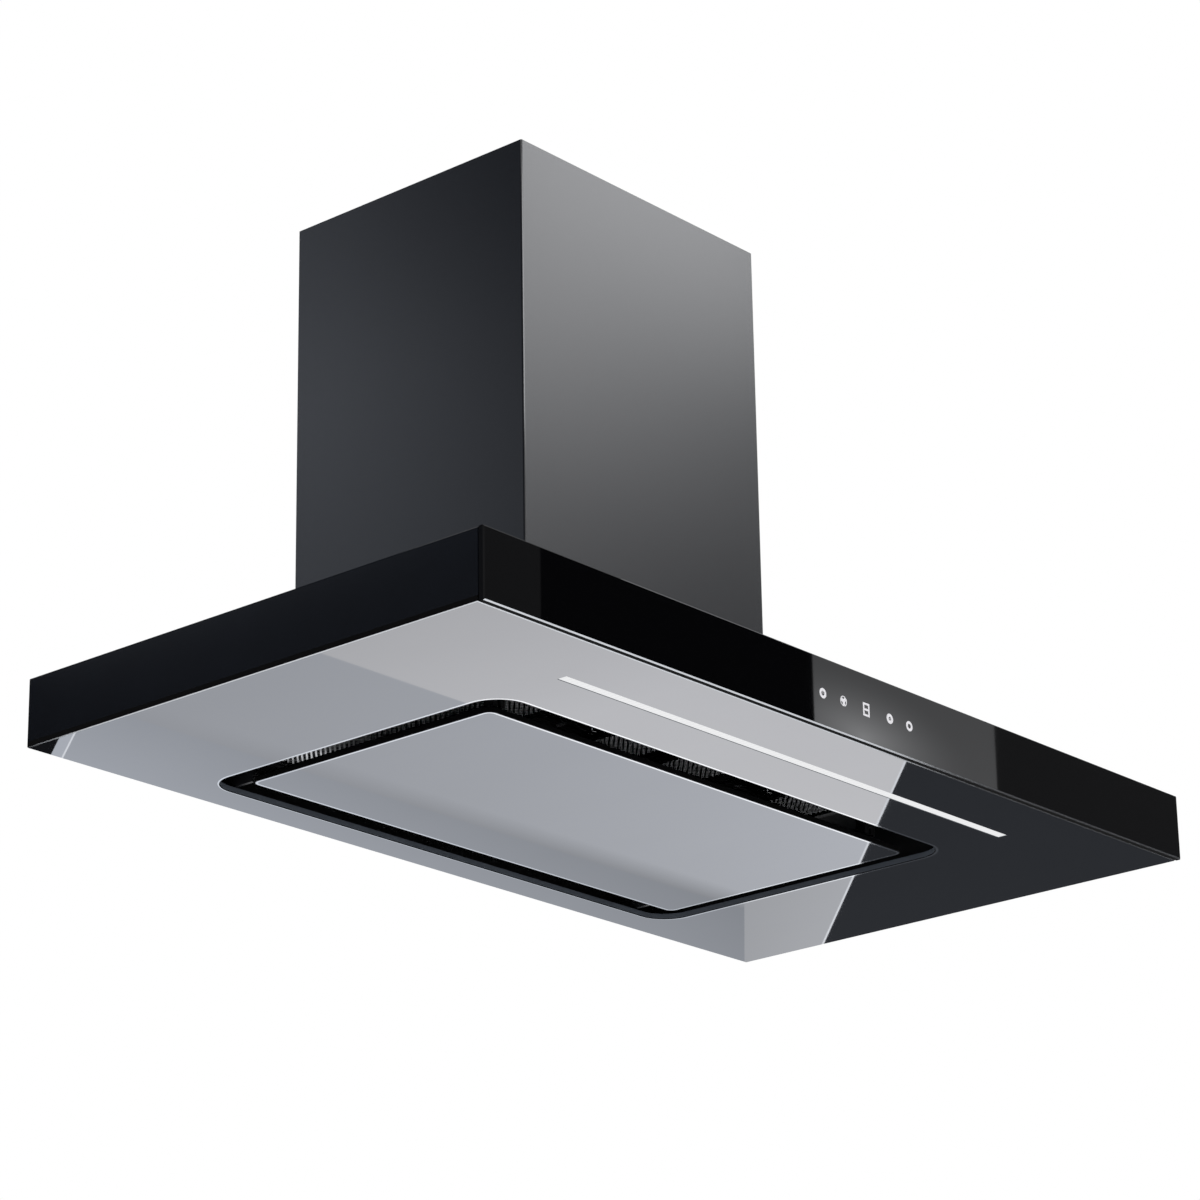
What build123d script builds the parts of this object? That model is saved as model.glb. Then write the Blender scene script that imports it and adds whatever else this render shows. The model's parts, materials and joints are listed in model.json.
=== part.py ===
"""Wall-mounted chimney range hood: a slim glass-faced canopy, its blower and a telescoping chimney cover."""
import os
from math import acos, cos, radians, sin, tau

from build123d import *

# ---------------------------------------------------------------- driving dimensions, millimetres
# The wall is the plane Y = 0 and the front faces -Y. Z = 0 is the centre of the wall screws.
underside_drop = 190.0  # from the wall screws down to the glass underside

canopy_width = 900.0
canopy_depth = 490.0
canopy_height = 58.0
canopy_sheet = 1.0
canopy_bend_radius = 1.2
canopy_flange = 14.0

underside_glass_thickness = 5.0
front_glass_thickness = 5.0
front_glass_bevel = 1.0
glass_edge_bevel = 0.6
glass_joint = 1.5  # open joint between the front glass and the underside glass
tape_thickness = 1.0
tape_width = 8.0

suction_width = 576.0  # opening in the underside glass
suction_front_margin = 133.0  # glass in front of the opening
suction_rear_margin = 33.0  # glass behind it
suction_corner = 28.0

panel_side_gap = 23.0  # suction slots round the centre panel
panel_front_gap = 31.0
panel_rear_gap = 29.0
panel_corner = 8.0
panel_glass_thickness = 4.0
panel_tray_inset = 14.0
panel_tray_height = 8.0
thin_sheet = 0.8

hinge_setback = 6.0  # hinge axis behind the panel's rear edge
hinge_height = 9.0  # hinge axis above the underside
hinge_inset = 15.0  # hinge plates in from each end of the panel
hinge_pin_radius = 2.5
hinge_eye_radius = 4.8
hinge_plate = 3.0
hinge_foot = 9.0  # width of each plate's screwed foot
lug_gap = 1.0
hanger_height = 16.0

lamp_length = 569.0
lamp_width = 9.6
lamp_margin = 67.7  # from the front of the hood to the lamp strip
lamp_fit = 0.3
lamp_body_height = 14.0
lamp_shelf = 4.0
lamp_wall = 1.2
emitter_pitch = 16.0
emitter_size = 2.8
emitter_height = 0.8

tray_wall_offset = 5.0  # from the glass opening out to the tray wall
tray_rear_room = 19.0  # tray wall behind the rear edge of the opening
tray_flange = 10.0
filter_height = 35.0  # filter underside above the hood underside
filter_side_room = 64.0  # filter outer edges in from the sides of the opening
filter_front_room = 57.0  # filter front edge behind the front edge of the opening
filter_rear_room = 1.0
filter_thickness = 9.0
filter_gap = 8.0
filter_bar = 7.0
filter_seat = 6.0  # how far each filter overlaps the tray roof round its opening
mesh_recess = 1.5  # mesh behind the faces of its frame
mesh_fit = 0.2
rail_sheet = 1.0
rail_drop = 1.3  # rail lips below the filters
rail_lip = 6.0

handle_length = 80.0
handle_depth = 38.0
handle_wall = 6.0
handle_recess = 6.0
latch_travel = 6.0
latch_rise = 3.0  # latch bar above the filter underside
latch_width = 8.0
latch_thickness = 2.5
latch_tongue_width = 12.0
latch_reach = 5.0  # tongue tip beyond the front of the filter
latch_fit = 0.3
knob_radius = 4.0
knob_height = 2.6
knob_rounding = 1.0
knob_offset = 26.0

catch_inset_x = 27.0  # catches in from the panel's ends and front edge
catch_inset_y = 20.0
catch_length = 14.0
catch_depth = 10.0
striker_thickness = 2.0
striker_depth = 5.0
catch_slot = 3.0
catch_lift = 2.0  # catch above the panel tray's rim
striker_rise = 7.0
striker_clear = 1.0

control_window_width = 160.0
control_window_height = 24.0
control_height = 27.5  # centre line of the touch controls above the underside
display_width = 16.0
display_height = 18.0
control_frame_border = 12.0
control_frame_depth = 4.0
guide_inset = 0.4
display_chip_width = 32.0
display_chip_depth = 4.8
board_thickness = 1.6

chimney_width = 311.0
chimney_depth = 266.0
chimney_height = 496.0
chimney_sheet = 0.8
chimney_bend_radius = 1.6
chimney_return = 15.0
chimney_flange = 12.0
cover_screw_share = 0.25  # of the chimney's depth, in from its front and its rear
cover_gap = 1.0  # between the lower and the upper chimney cover
cover_rear_gap = cover_gap / 3
upper_height = 480.0
upper_seat_gap = 0.3
vent_slot_length = 60.0
vent_slot_width = 4.0
vent_slot_pitch = 9.0
vent_slot_rows = 12
vent_slot_top = 40.0

box_side_gap = 13.5  # between the blower box and the chimney cover
box_front_gap = 21.0
box_rear_y = -2.5
box_height = 290.0
seal_thickness = 1.0
box_flange = 9.0
screw_radius = 2.0
screw_hole_radius = 2.1
screw_head_radius = 3.6
screw_head_height = 1.8
screw_reach = 4.0

bracket_width = 240.0
bracket_height = 100.0
wall_screw_spacing_x = 180.0
wall_screw_spacing_z = 60.0
wall_screw_hole_radius = 4.0
access_hole_radius = 10.0
cover_bracket_depth = 28.0  # bracket that holds the upper cover to the wall
cover_bracket_drop = 24.0
cover_bracket_sheet = 1.5
cover_bracket_screws = 220.0

wheel_x = -28.0
wheel_height = 182.0  # wheel axis above the underside
wheel_radius = 72.0
wheel_blade_depth = 12.0
wheel_width = 118.0
wheel_ring = 2.0
wheel_blades = 36
blade_thickness = 1.2
blade_angle = 35.0
blower_y = -125.0
scroll_width = 130.0
scroll_sheet = 1.0
scroll_start_radius = 78.0
scroll_end_radius = 112.0
scroll_start_angle = 75.0
scroll_steps = 9
inlet_radius = 58.0
inlet_lip = 3.0
inlet_flange = 16.0
inlet_sheet = 1.5
shaft_radius = 4.0
shaft_fit = 0.05
hub_radius = 11.0
shaft_inset = 8.0  # shaft end inside the motor's rear face
hub_length = 22.0
nut_radius = 7.7
nut_height = 6.0
motor_radius = 38.0
motor_length = 54.0
motor_rounding = 3.8
spider_arms = 3
spider_arm_width = 9.0
spider_disc_radius = 30.4
spider_thickness = 2.0

collar_radius = 75.0
collar_sheet = 1.2
collar_height = 42.0
collar_ledge = 2.4  # step that the closed flaps rest on
adaptor_width = 190.0
adaptor_depth = 176.0
adaptor_height = 30.0
adaptor_sheet = 1.2
flap_thickness = 1.2
flap_fit = 1.5
flap_height = 10.0  # flap axis above the bottom of the collar
flap_pin_radius = 1.5
flap_sleeve_radius = 2.5
flap_axis_x = 4.0

electronics_x = 380.0
electronics_y = -220.0
electronics_width = 100.0
electronics_depth = 150.0
electronics_height = 34.0
electronics_wall = 2.0
electronics_cover_thickness = 3.0
standoff_height = 4.0
standoff_radius = 3.0
standoff_spacing = (75.0, 120.0)
board_margin = 1.0
capacitor_radius = 9.0
capacitor_length = 50.0
driver_length = 38.0
driver_depth = 60.0
driver_height = 18.0
terminal_offset = 45.0  # behind the middle of the case
terminal_height = 14.0
terminal_depth = 16.0
terminal_bore_radius = 2.7
pole_pitch = 9.0
poles = 5

gland_inset = 30.0  # gland in from the side of the blower box
gland_y = -58.0
gland_radius = 8.0
gland_bore_radius = 4.5
gland_length = 26.0
gland_drop = gland_length / 3  # length of the gland below the box lid
gland_flange = 3.0

# ---------------------------------------------------------------- levels and planes worked out from them
half_width = canopy_width / 2
underside_z = -underside_drop
glass_top = underside_z + underside_glass_thickness
canopy_top = underside_z + canopy_height
ceiling_z = canopy_top - canopy_sheet
shell_front_y = -canopy_depth + front_glass_thickness + tape_thickness
glass_back_y = -canopy_depth + front_glass_thickness
underside_front_y = glass_back_y + glass_joint
suction_front_y = -canopy_depth + suction_front_margin
suction_rear_y = -suction_rear_margin
suction_y = (suction_front_y + suction_rear_y) / 2
suction_length = suction_rear_y - suction_front_y
lamp_front_y = -canopy_depth + lamp_margin
panel_width = suction_width - 2 * panel_side_gap
panel_front_y = suction_front_y + panel_front_gap
panel_rear_y = suction_rear_y - panel_rear_gap
panel_y = (panel_front_y + panel_rear_y) / 2
panel_top = underside_z + panel_glass_thickness
hinge_x = panel_width / 2 - hinge_inset
hinge_y = panel_rear_y + hinge_setback
catch_x = panel_width / 2 - catch_inset_x
catch_y = panel_front_y + catch_inset_y

filter_z = underside_z + filter_height
roof_z = filter_z + filter_thickness
filter_front_y = suction_front_y + filter_front_room
filter_rear_y = suction_rear_y + filter_rear_room
filter_edge_x = suction_width / 2 - filter_side_room
filter_width = filter_edge_x - filter_gap / 2
filter_x = (filter_width + filter_gap) / 2
tray_half_width = suction_width / 2 + tray_wall_offset
tray_front_y = suction_front_y - tray_wall_offset
tray_rear_y = suction_rear_y + tray_rear_room
roof_half = filter_edge_x - filter_seat
roof_y = (filter_front_y + filter_seat, filter_rear_y - filter_seat)

box_width = chimney_width - 2 * box_side_gap
box_front_y = -chimney_depth + box_front_gap
gland_x = box_width / 2 - gland_inset
box_base = canopy_top + seal_thickness
box_top = box_base + box_height
chimney_top = canopy_top + chimney_height
upper_base = canopy_top + chimney_sheet + upper_seat_gap
adaptor_top = box_top + adaptor_height
wheel_z = underside_z + wheel_height
scroll_front_y = blower_y - scroll_width / 2
scroll_rear_y = blower_y + scroll_width / 2

os.makedirs("parts", exist_ok=True)


def block(x_span, y_span, z_span, mode=Mode.ADD):
    """A box between two X, two Y and two Z values."""
    centre = [sum(span) / 2 for span in (x_span, y_span, z_span)]
    with Locations(tuple(centre)):
        Box(x_span[1] - x_span[0], y_span[1] - y_span[0], z_span[1] - z_span[0], mode=mode)


def rod(radius, centre, length, direction, mode=Mode.ADD):
    """A cylinder from a centre point along a direction."""
    with BuildSketch(Plane(origin=centre, z_dir=direction)) as disc:
        Circle(radius)
    extrude(disc.sketch, amount=length, mode=mode)


def save(piece, label):
    """Name a finished piece and write it to its own file."""
    piece.part.label = label
    export_step(piece.part, f"parts/{label}.step")


# ---------------------------------------------------------------- canopy
box_inner_x = box_width / 2 - chimney_sheet
box_inner_y = (box_front_y + chimney_sheet, box_rear_y - chimney_sheet)
window_half = control_window_width / 2
window_z = (
    underside_z + control_height - control_window_height / 2,
    underside_z + control_height + control_window_height / 2,
)
flange_screw_x = box_width / 2 - box_flange / 2 - chimney_sheet
flange_screw_y = (box_front_y + box_flange / 2 + chimney_sheet, box_rear_y - box_flange / 2 - chimney_sheet)
flange_screws = [(x, y) for x in (-flange_screw_x, flange_screw_x) for y in flange_screw_y]
cover_screw_x = chimney_width / 2 - chimney_sheet - chimney_flange / 2
cover_screw_y = (-chimney_depth * (1 - cover_screw_share), -chimney_depth * cover_screw_share)
cover_screws = [(x, y) for x in (-cover_screw_x, cover_screw_x) for y in cover_screw_y]
throat_half = box_width / 2 - chimney_sheet - box_flange
throat_y = (box_inner_y[0] + box_flange, roof_y[1])

with BuildPart() as canopy_shell:
    block((-half_width, half_width), (shell_front_y, 0), (glass_top, canopy_top))
    fillet(canopy_shell.edges().filter_by(Axis.Y).group_by(Axis.Z)[-1], canopy_bend_radius)
    inner = half_width - canopy_sheet
    block((-inner, inner), (shell_front_y + canopy_sheet, 0), (glass_top, ceiling_z), Mode.SUBTRACT)
    for side in (-1, 1):
        edges = sorted((side * inner, side * (inner - canopy_flange)))
        block(edges, (shell_front_y + canopy_sheet, -canopy_sheet), (glass_top, glass_top + canopy_sheet))
    block(
        (-inner, inner),
        (shell_front_y + canopy_sheet, shell_front_y + canopy_sheet + canopy_flange),
        (glass_top, glass_top + canopy_sheet),
    )
    block((-throat_half, throat_half), throat_y, (ceiling_z, canopy_top), Mode.SUBTRACT)
    block((-window_half, window_half), (shell_front_y, shell_front_y + canopy_sheet), window_z, Mode.SUBTRACT)
    with Locations([(x, y, canopy_top - canopy_sheet / 2) for x, y in flange_screws + cover_screws]):
        Cylinder(screw_hole_radius, canopy_sheet, mode=Mode.SUBTRACT)
save(canopy_shell, "canopy_shell")

with BuildPart() as canopy_rear_wall:
    block((-inner, inner), (-canopy_sheet, 0), (glass_top, ceiling_z))
save(canopy_rear_wall, "canopy_rear_wall")

with BuildPart() as underside_glass:
    with BuildSketch(Plane.XY.offset(underside_z)):
        with Locations((0, underside_front_y / 2)):
            Rectangle(canopy_width, -underside_front_y)
        with Locations((0, suction_y)):
            RectangleRounded(suction_width, suction_length, suction_corner, mode=Mode.SUBTRACT)
    extrude(amount=underside_glass_thickness)
    chamfer(underside_glass.edges().group_by(Axis.Z)[0], glass_edge_bevel)
    block(
        (-lamp_length / 2, lamp_length / 2),
        (lamp_front_y, lamp_front_y + lamp_width),
        (underside_z, glass_top),
        Mode.SUBTRACT,
    )
save(underside_glass, "underside_glass")

with BuildPart() as front_glass:
    block((-half_width, half_width), (-canopy_depth, glass_back_y), (underside_z, canopy_top))
    chamfer(front_glass.faces().sort_by(Axis.Y)[0].edges(), front_glass_bevel)
save(front_glass, "front_glass")

with BuildPart() as front_glass_tape:
    tape_edge = half_width - canopy_bend_radius
    tape_z = (glass_top, canopy_top - canopy_bend_radius)
    block((-tape_edge, tape_edge), (glass_back_y, shell_front_y), tape_z)
    block(
        (-tape_edge + tape_width, tape_edge - tape_width),
        (glass_back_y, shell_front_y),
        (tape_z[0] + tape_width, tape_z[1] - tape_width),
        Mode.SUBTRACT,
    )
save(front_glass_tape, "front_glass_tape")

# ---------------------------------------------------------------- lamp strip behind the underside glass
lamp_y = (lamp_front_y, lamp_front_y + lamp_width)
lamp_half = lamp_length / 2

with BuildPart() as lamp_diffuser:
    block(
        (-lamp_half + lamp_fit, lamp_half - lamp_fit),
        (lamp_y[0] + lamp_fit, lamp_y[1] - lamp_fit),
        (underside_z + lamp_fit, glass_top),
    )
    shelf_y = (lamp_y[0] - lamp_shelf / 2, lamp_y[1] + lamp_shelf / 2)
    block((-lamp_half, lamp_half), shelf_y, (glass_top, glass_top + lamp_wall))
save(lamp_diffuser, "lamp_diffuser")

with BuildPart() as lamp_housing:
    outer_y = (shelf_y[0] - lamp_fit - lamp_wall, shelf_y[1] + lamp_fit + lamp_wall)
    outer_x = lamp_half + lamp_fit + lamp_wall
    block((-outer_x, outer_x), outer_y, (glass_top, glass_top + lamp_body_height))
    block(
        (-outer_x + lamp_wall, outer_x - lamp_wall),
        (outer_y[0] + lamp_wall, outer_y[1] - lamp_wall),
        (glass_top, glass_top + lamp_body_height - lamp_wall),
        Mode.SUBTRACT,
    )
    for flange_y in ((outer_y[0] - lamp_shelf, outer_y[0]), (outer_y[1], outer_y[1] + lamp_shelf)):
        block((-outer_x, outer_x), flange_y, (glass_top, glass_top + lamp_wall))
save(lamp_housing, "lamp_housing")

with BuildPart() as lamp_board:
    board_top = glass_top + lamp_body_height - lamp_wall
    block((-lamp_half, lamp_half), shelf_y, (board_top - board_thickness, board_top))
    emitter_count = int(lamp_length / emitter_pitch)
    emitter_z = board_top - board_thickness - emitter_height / 2
    with Locations((0, sum(lamp_y) / 2, emitter_z)):
        with GridLocations(emitter_pitch, 1, emitter_count, 1):
            Box(emitter_size, emitter_size, emitter_height)
save(lamp_board, "lamp_board")

# ---------------------------------------------------------------- touch controls behind the front glass
guide_half = window_half - guide_inset
guide_z = (window_z[0] + guide_inset, window_z[1] - guide_inset)
frame_back_y = shell_front_y + canopy_sheet + control_frame_depth
control_z = underside_z + control_height

with BuildPart() as touch_light_guide:
    block((-guide_half, guide_half), (glass_back_y, frame_back_y), guide_z)
    display_pocket = display_width / 2 + guide_inset
    pocket_z = (control_z - display_height / 2 - guide_inset, control_z + display_height / 2 + guide_inset)
    block((-display_pocket, display_pocket), (glass_back_y, frame_back_y), pocket_z, Mode.SUBTRACT)
save(touch_light_guide, "touch_light_guide")

with BuildPart() as display_module:
    display_z = (control_z - display_height / 2, control_z + display_height / 2)
    block((-display_width / 2, display_width / 2), (glass_back_y, frame_back_y), display_z)
save(display_module, "display_module")

with BuildPart() as touch_frame:
    frame_half = window_half + control_frame_border
    frame_z = (window_z[0] - control_frame_border / 2, window_z[1] + control_frame_border / 2)
    block((-frame_half, frame_half), (shell_front_y + canopy_sheet, frame_back_y), frame_z)
    block((-window_half, window_half), (shell_front_y + canopy_sheet, frame_back_y), window_z, Mode.SUBTRACT)
save(touch_frame, "touch_frame")

with BuildPart() as touch_board:
    board_back_y = frame_back_y + board_thickness
    block((-frame_half, frame_half), (frame_back_y, board_back_y), frame_z)
    chip_half = display_chip_width / 2
    block((-chip_half, chip_half), (board_back_y, board_back_y + display_chip_depth), display_z)
save(touch_board, "touch_board")

# ---------------------------------------------------------------- suction tray above the underside glass
with BuildPart() as suction_tray:
    outer_x = tray_half_width + canopy_sheet
    tray_y = (tray_front_y - canopy_sheet, tray_rear_y + canopy_sheet)
    flange_x = outer_x + tray_flange
    flange_y = (tray_y[0] - tray_flange, tray_y[1] + tray_flange)
    block((-flange_x, flange_x), flange_y, (glass_top, glass_top + canopy_sheet))
    block((-outer_x, outer_x), tray_y, (glass_top, roof_z + canopy_sheet))
    inner_y = (tray_front_y, tray_rear_y)
    block((-tray_half_width, tray_half_width), inner_y, (glass_top, roof_z), Mode.SUBTRACT)
    collar_half = roof_half + canopy_sheet
    collar_y = (roof_y[0] - canopy_sheet, roof_y[1] + canopy_sheet)
    block((-collar_half, collar_half), collar_y, (roof_z + canopy_sheet, ceiling_z))
    block((-roof_half, roof_half), roof_y, (roof_z, ceiling_z), Mode.SUBTRACT)
save(suction_tray, "suction_tray")

with BuildPart() as filter_divider:
    divider_half = filter_gap / 2 - latch_fit
    block((-divider_half, divider_half), (filter_front_y, filter_rear_y), (filter_z, roof_z))
save(filter_divider, "filter_divider")

latch_z = filter_z + latch_rise
tongue_clear = latch_tongue_width / 2 + latch_fit
tongue_z = (latch_z - latch_fit, latch_z + latch_thickness + latch_fit)

with BuildPart() as filter_rails:
    rail_y = filter_rear_y + rail_sheet
    block((-filter_edge_x, filter_edge_x), (rail_y, rail_y + rail_sheet), (filter_z - rail_drop, roof_z))
    lip_y = (filter_rear_y - rail_lip, rail_y)
    lip_z = (filter_z - rail_drop, filter_z - rail_drop + rail_sheet)
    block((-filter_edge_x, filter_edge_x), lip_y, lip_z)
    rail_front_y = filter_front_y - 2 * rail_sheet
    rail_span = (rail_front_y, rail_front_y + rail_sheet)
    block((-filter_edge_x, filter_edge_x), rail_span, (filter_z - rail_drop, roof_z))
    for side in (-1, 1):
        slot_x = (side * filter_x - tongue_clear, side * filter_x + tongue_clear)
        block(slot_x, rail_span, tongue_z, Mode.SUBTRACT)
save(filter_rails, "filter_rails")

# ---------------------------------------------------------------- the two grease filters and their latches
handle_front_y = filter_front_y + filter_bar
handle_rear_y = handle_front_y + handle_depth
recess_y = (handle_front_y + handle_wall, handle_rear_y - handle_wall)
latch_y = sum(recess_y) / 2 - latch_travel / 2


def make_filter_frame(centre_x):
    """Channel frame round one filter, with a slot in its front bar for the latch tongue."""
    with BuildPart() as frame:
        half = filter_width / 2
        block((centre_x - half, centre_x + half), (filter_front_y, filter_rear_y), (filter_z, roof_z))
        inside = half - filter_bar
        block(
            (centre_x - inside, centre_x + inside),
            (handle_front_y, filter_rear_y - filter_bar),
            (filter_z, roof_z),
            Mode.SUBTRACT,
        )
        slot_x = (centre_x - tongue_clear, centre_x + tongue_clear)
        block(slot_x, (filter_front_y, handle_front_y), tongue_z, Mode.SUBTRACT)
    return frame


def make_filter_mesh(centre_x):
    """The pack of expanded aluminium inside the frame, cut away round the handle."""
    with BuildPart() as mesh:
        inside = filter_width / 2 - filter_bar - mesh_fit
        mesh_z = (filter_z + mesh_recess, roof_z - mesh_recess)
        block(
            (centre_x - inside, centre_x + inside),
            (handle_front_y + mesh_fit, filter_rear_y - filter_bar - mesh_fit),
            mesh_z,
        )
        cut = handle_length / 2 + mesh_fit
        cut_x = (centre_x - cut, centre_x + cut)
        block(cut_x, (handle_front_y, handle_rear_y + mesh_fit), mesh_z, Mode.SUBTRACT)
    return mesh


def make_filter_latch(centre_x):
    """Sliding bar with a round pull under its right end and the tongue that holds the filter in the rail."""
    with BuildPart() as latch:
        half = handle_length / 2 - handle_wall - latch_fit
        bar_y = (latch_y - latch_width / 2, latch_y + latch_width / 2)
        bar_z = (latch_z, latch_z + latch_thickness)
        block((centre_x - half, centre_x + half), bar_y, bar_z)
        tongue_half = latch_tongue_width / 2
        tongue_x = (centre_x - tongue_half, centre_x + tongue_half)
        block(tongue_x, (filter_front_y - latch_reach, bar_y[0]), bar_z)
        rod(knob_radius, (centre_x + knob_offset, latch_y, latch_z), -knob_height, (0, 0, 1))
        fillet(latch.faces().sort_by(Axis.Z)[0].edges(), knob_rounding)
    return latch


def make_latch_spring(centre_x):
    """Closed stand-in for the small compression spring behind the latch bar."""
    with BuildPart() as spring:
        spring_y = latch_y + latch_width / 2
        spring_z = latch_z + latch_thickness / 2
        rod(latch_thickness / 2, (centre_x, spring_y, spring_z), recess_y[1] - spring_y, (0, 1, 0))
    return spring


with BuildPart() as filter_handles:
    for side in (-1, 1):
        centre_x = side * filter_x
        half = handle_length / 2
        block((centre_x - half, centre_x + half), (handle_front_y, handle_rear_y), (filter_z, roof_z))
        recess_half = half - handle_wall
        recess_x = (centre_x - recess_half, centre_x + recess_half)
        block(recess_x, recess_y, (filter_z, filter_z + handle_recess), Mode.SUBTRACT)
        slot_x = (centre_x - tongue_clear, centre_x + tongue_clear)
        block(slot_x, (handle_front_y, recess_y[0]), tongue_z, Mode.SUBTRACT)
save(filter_handles, "filter_handles")

for side_name, side in (("left", -1), ("right", 1)):
    save(make_filter_frame(side * filter_x), f"filter_frame_{side_name}")
    save(make_filter_mesh(side * filter_x), f"filter_mesh_{side_name}")
    save(make_filter_latch(side * filter_x), f"filter_latch_{side_name}")
    save(make_latch_spring(side * filter_x), f"latch_spring_{side_name}")

# ---------------------------------------------------------------- hinged centre panel
tray_half = panel_width / 2 - panel_tray_inset
panel_tray_y = (panel_front_y + panel_tray_inset, panel_rear_y - panel_tray_inset)
hinge_z = underside_z + hinge_height

with BuildPart() as panel_glass:
    with BuildSketch(Plane(origin=(0, panel_y, underside_z))):
        RectangleRounded(panel_width, panel_rear_y - panel_front_y, panel_corner)
    extrude(amount=panel_glass_thickness)
    chamfer(panel_glass.edges().group_by(Axis.Z)[0], glass_edge_bevel)
save(panel_glass, "panel_glass")

with BuildPart() as panel_tray:
    block((-tray_half, tray_half), panel_tray_y, (panel_top, panel_top + panel_tray_height))
    block(
        (-tray_half + thin_sheet, tray_half - thin_sheet),
        (panel_tray_y[0] + thin_sheet, panel_tray_y[1] - thin_sheet),
        (panel_top + thin_sheet, panel_top + panel_tray_height),
        Mode.SUBTRACT,
    )
save(panel_tray, "panel_tray")

with BuildPart() as panel_hinge_lugs:
    for side in (-1, 1):
        lug_x = side * (hinge_x - lug_gap / 2)
        with BuildSketch(Plane(origin=(lug_x, 0, 0), x_dir=(0, 1, 0), z_dir=(1, 0, 0))):
            with Locations((hinge_y, hinge_z)):
                Circle(hinge_eye_radius)
            with Locations(((panel_tray_y[1] + hinge_y) / 2, hinge_z)):
                Rectangle(hinge_y - panel_tray_y[1], 2 * hinge_eye_radius)
            with Locations((hinge_y, hinge_z)):
                Circle(hinge_pin_radius + shaft_fit, mode=Mode.SUBTRACT)
        extrude(amount=-side * hinge_plate)
        foot_x = sorted((lug_x - side * hinge_plate, lug_x - side * (hinge_plate + hinge_foot)))
        foot_z = (hinge_z - hinge_eye_radius, hinge_z + hinge_eye_radius)
        block(foot_x, (panel_tray_y[1], panel_tray_y[1] + thin_sheet), foot_z)
save(panel_hinge_lugs, "panel_hinge_lugs")

with BuildPart() as hinge_hangers:
    for side in (-1, 1):
        hanger_x = side * (hinge_x + lug_gap / 2)
        base_z = glass_top + canopy_sheet + latch_fit
        arm_length = tray_rear_y - hinge_y
        with BuildSketch(Plane(origin=(hanger_x, 0, 0), x_dir=(0, 1, 0), z_dir=(1, 0, 0))):
            with Locations((hinge_y, hinge_z)):
                Circle(hinge_eye_radius)
            with Locations((hinge_y + arm_length / 2, base_z + hanger_height / 2)):
                Rectangle(arm_length, hanger_height)
            with Locations((hinge_y, hinge_z)):
                Circle(hinge_pin_radius, mode=Mode.SUBTRACT)
        extrude(amount=side * hinge_plate)
        foot_x = sorted((hanger_x + side * hinge_plate, hanger_x + side * (hinge_plate + hinge_foot)))
        block(foot_x, (tray_rear_y - canopy_sheet, tray_rear_y), (base_z, base_z + hanger_height))
save(hinge_hangers, "hinge_hangers")

with BuildPart() as hinge_pins:
    for side in (-1, 1):
        start_x = side * (hinge_x - lug_gap / 2 - hinge_plate - lug_gap)
        pin_length = 2 * hinge_plate + 3 * lug_gap
        rod(hinge_pin_radius, (start_x, hinge_y, hinge_z), side * pin_length, (1, 0, 0))
save(hinge_pins, "hinge_pins")

striker_top = panel_top + panel_tray_height + striker_rise
catch_base = panel_top + panel_tray_height + catch_lift

with BuildPart() as panel_strikers:
    for side in (-1, 1):
        striker_x = (side * catch_x - striker_thickness / 2, side * catch_x + striker_thickness / 2)
        striker_y = (catch_y - striker_depth / 2, catch_y + striker_depth / 2)
        block(striker_x, striker_y, (panel_top + thin_sheet, striker_top))
        foot = (side * catch_x - catch_length / 2, side * catch_x + catch_length / 2)
        foot_z = (panel_top + thin_sheet, panel_top + 2 * thin_sheet)
        block(foot, (catch_y - catch_depth / 2, catch_y + catch_depth / 2), foot_z)
save(panel_strikers, "panel_strikers")

with BuildPart() as panel_catches:
    for side in (-1, 1):
        catch_span = (side * catch_x - catch_length / 2, side * catch_x + catch_length / 2)
        slot_span = (side * catch_x - catch_slot / 2, side * catch_x + catch_slot / 2)
        catch_y_span = (catch_y - catch_depth / 2, catch_y + catch_depth / 2)
        block(catch_span, catch_y_span, (catch_base, roof_z))
        block(slot_span, catch_y_span, (catch_base, striker_top + striker_clear), Mode.SUBTRACT)
save(panel_catches, "panel_catches")

# ---------------------------------------------------------------- blower box on the canopy roof
with BuildPart() as blower_seal:
    seal_outer = box_width / 2
    block((-seal_outer, seal_outer), (box_front_y, box_rear_y), (canopy_top, box_base))
    block((-throat_half, throat_half), throat_y, (canopy_top, box_base), Mode.SUBTRACT)
    with Locations([(x, y, (canopy_top + box_base) / 2) for x, y in flange_screws]):
        Cylinder(screw_hole_radius, seal_thickness, mode=Mode.SUBTRACT)
save(blower_seal, "blower_seal")

chute_x = (
    wheel_x + scroll_start_radius * cos(radians(scroll_start_angle)),
    wheel_x + scroll_end_radius,
)
box_sheet = chimney_sheet

with BuildPart() as blower_box:
    block((-box_width / 2, box_width / 2), (box_front_y, box_rear_y), (box_base, box_top))
    inside_z = (box_base + box_sheet, box_top - box_sheet)
    block((-box_inner_x, box_inner_x), box_inner_y, inside_z, Mode.SUBTRACT)
    block((-throat_half, throat_half), throat_y, (box_base, box_base + box_sheet), Mode.SUBTRACT)
    block(
        (chute_x[0] + scroll_sheet, chute_x[1] - scroll_sheet),
        (scroll_front_y, scroll_rear_y),
        (box_top - box_sheet, box_top),
        Mode.SUBTRACT,
    )
    with Locations([(x, y, box_base + box_sheet / 2) for x, y in flange_screws]):
        Cylinder(screw_hole_radius, box_sheet, mode=Mode.SUBTRACT)
    for x in (-wall_screw_spacing_x / 2, wall_screw_spacing_x / 2):
        for z in (-wall_screw_spacing_z / 2, wall_screw_spacing_z / 2):
            rod(access_hole_radius, (x, box_rear_y - box_sheet, z), box_sheet, (0, 1, 0), Mode.SUBTRACT)
    rod(gland_radius, (gland_x, gland_y, box_top - box_sheet), box_sheet, (0, 0, 1), Mode.SUBTRACT)
save(blower_box, "blower_box")

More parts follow.
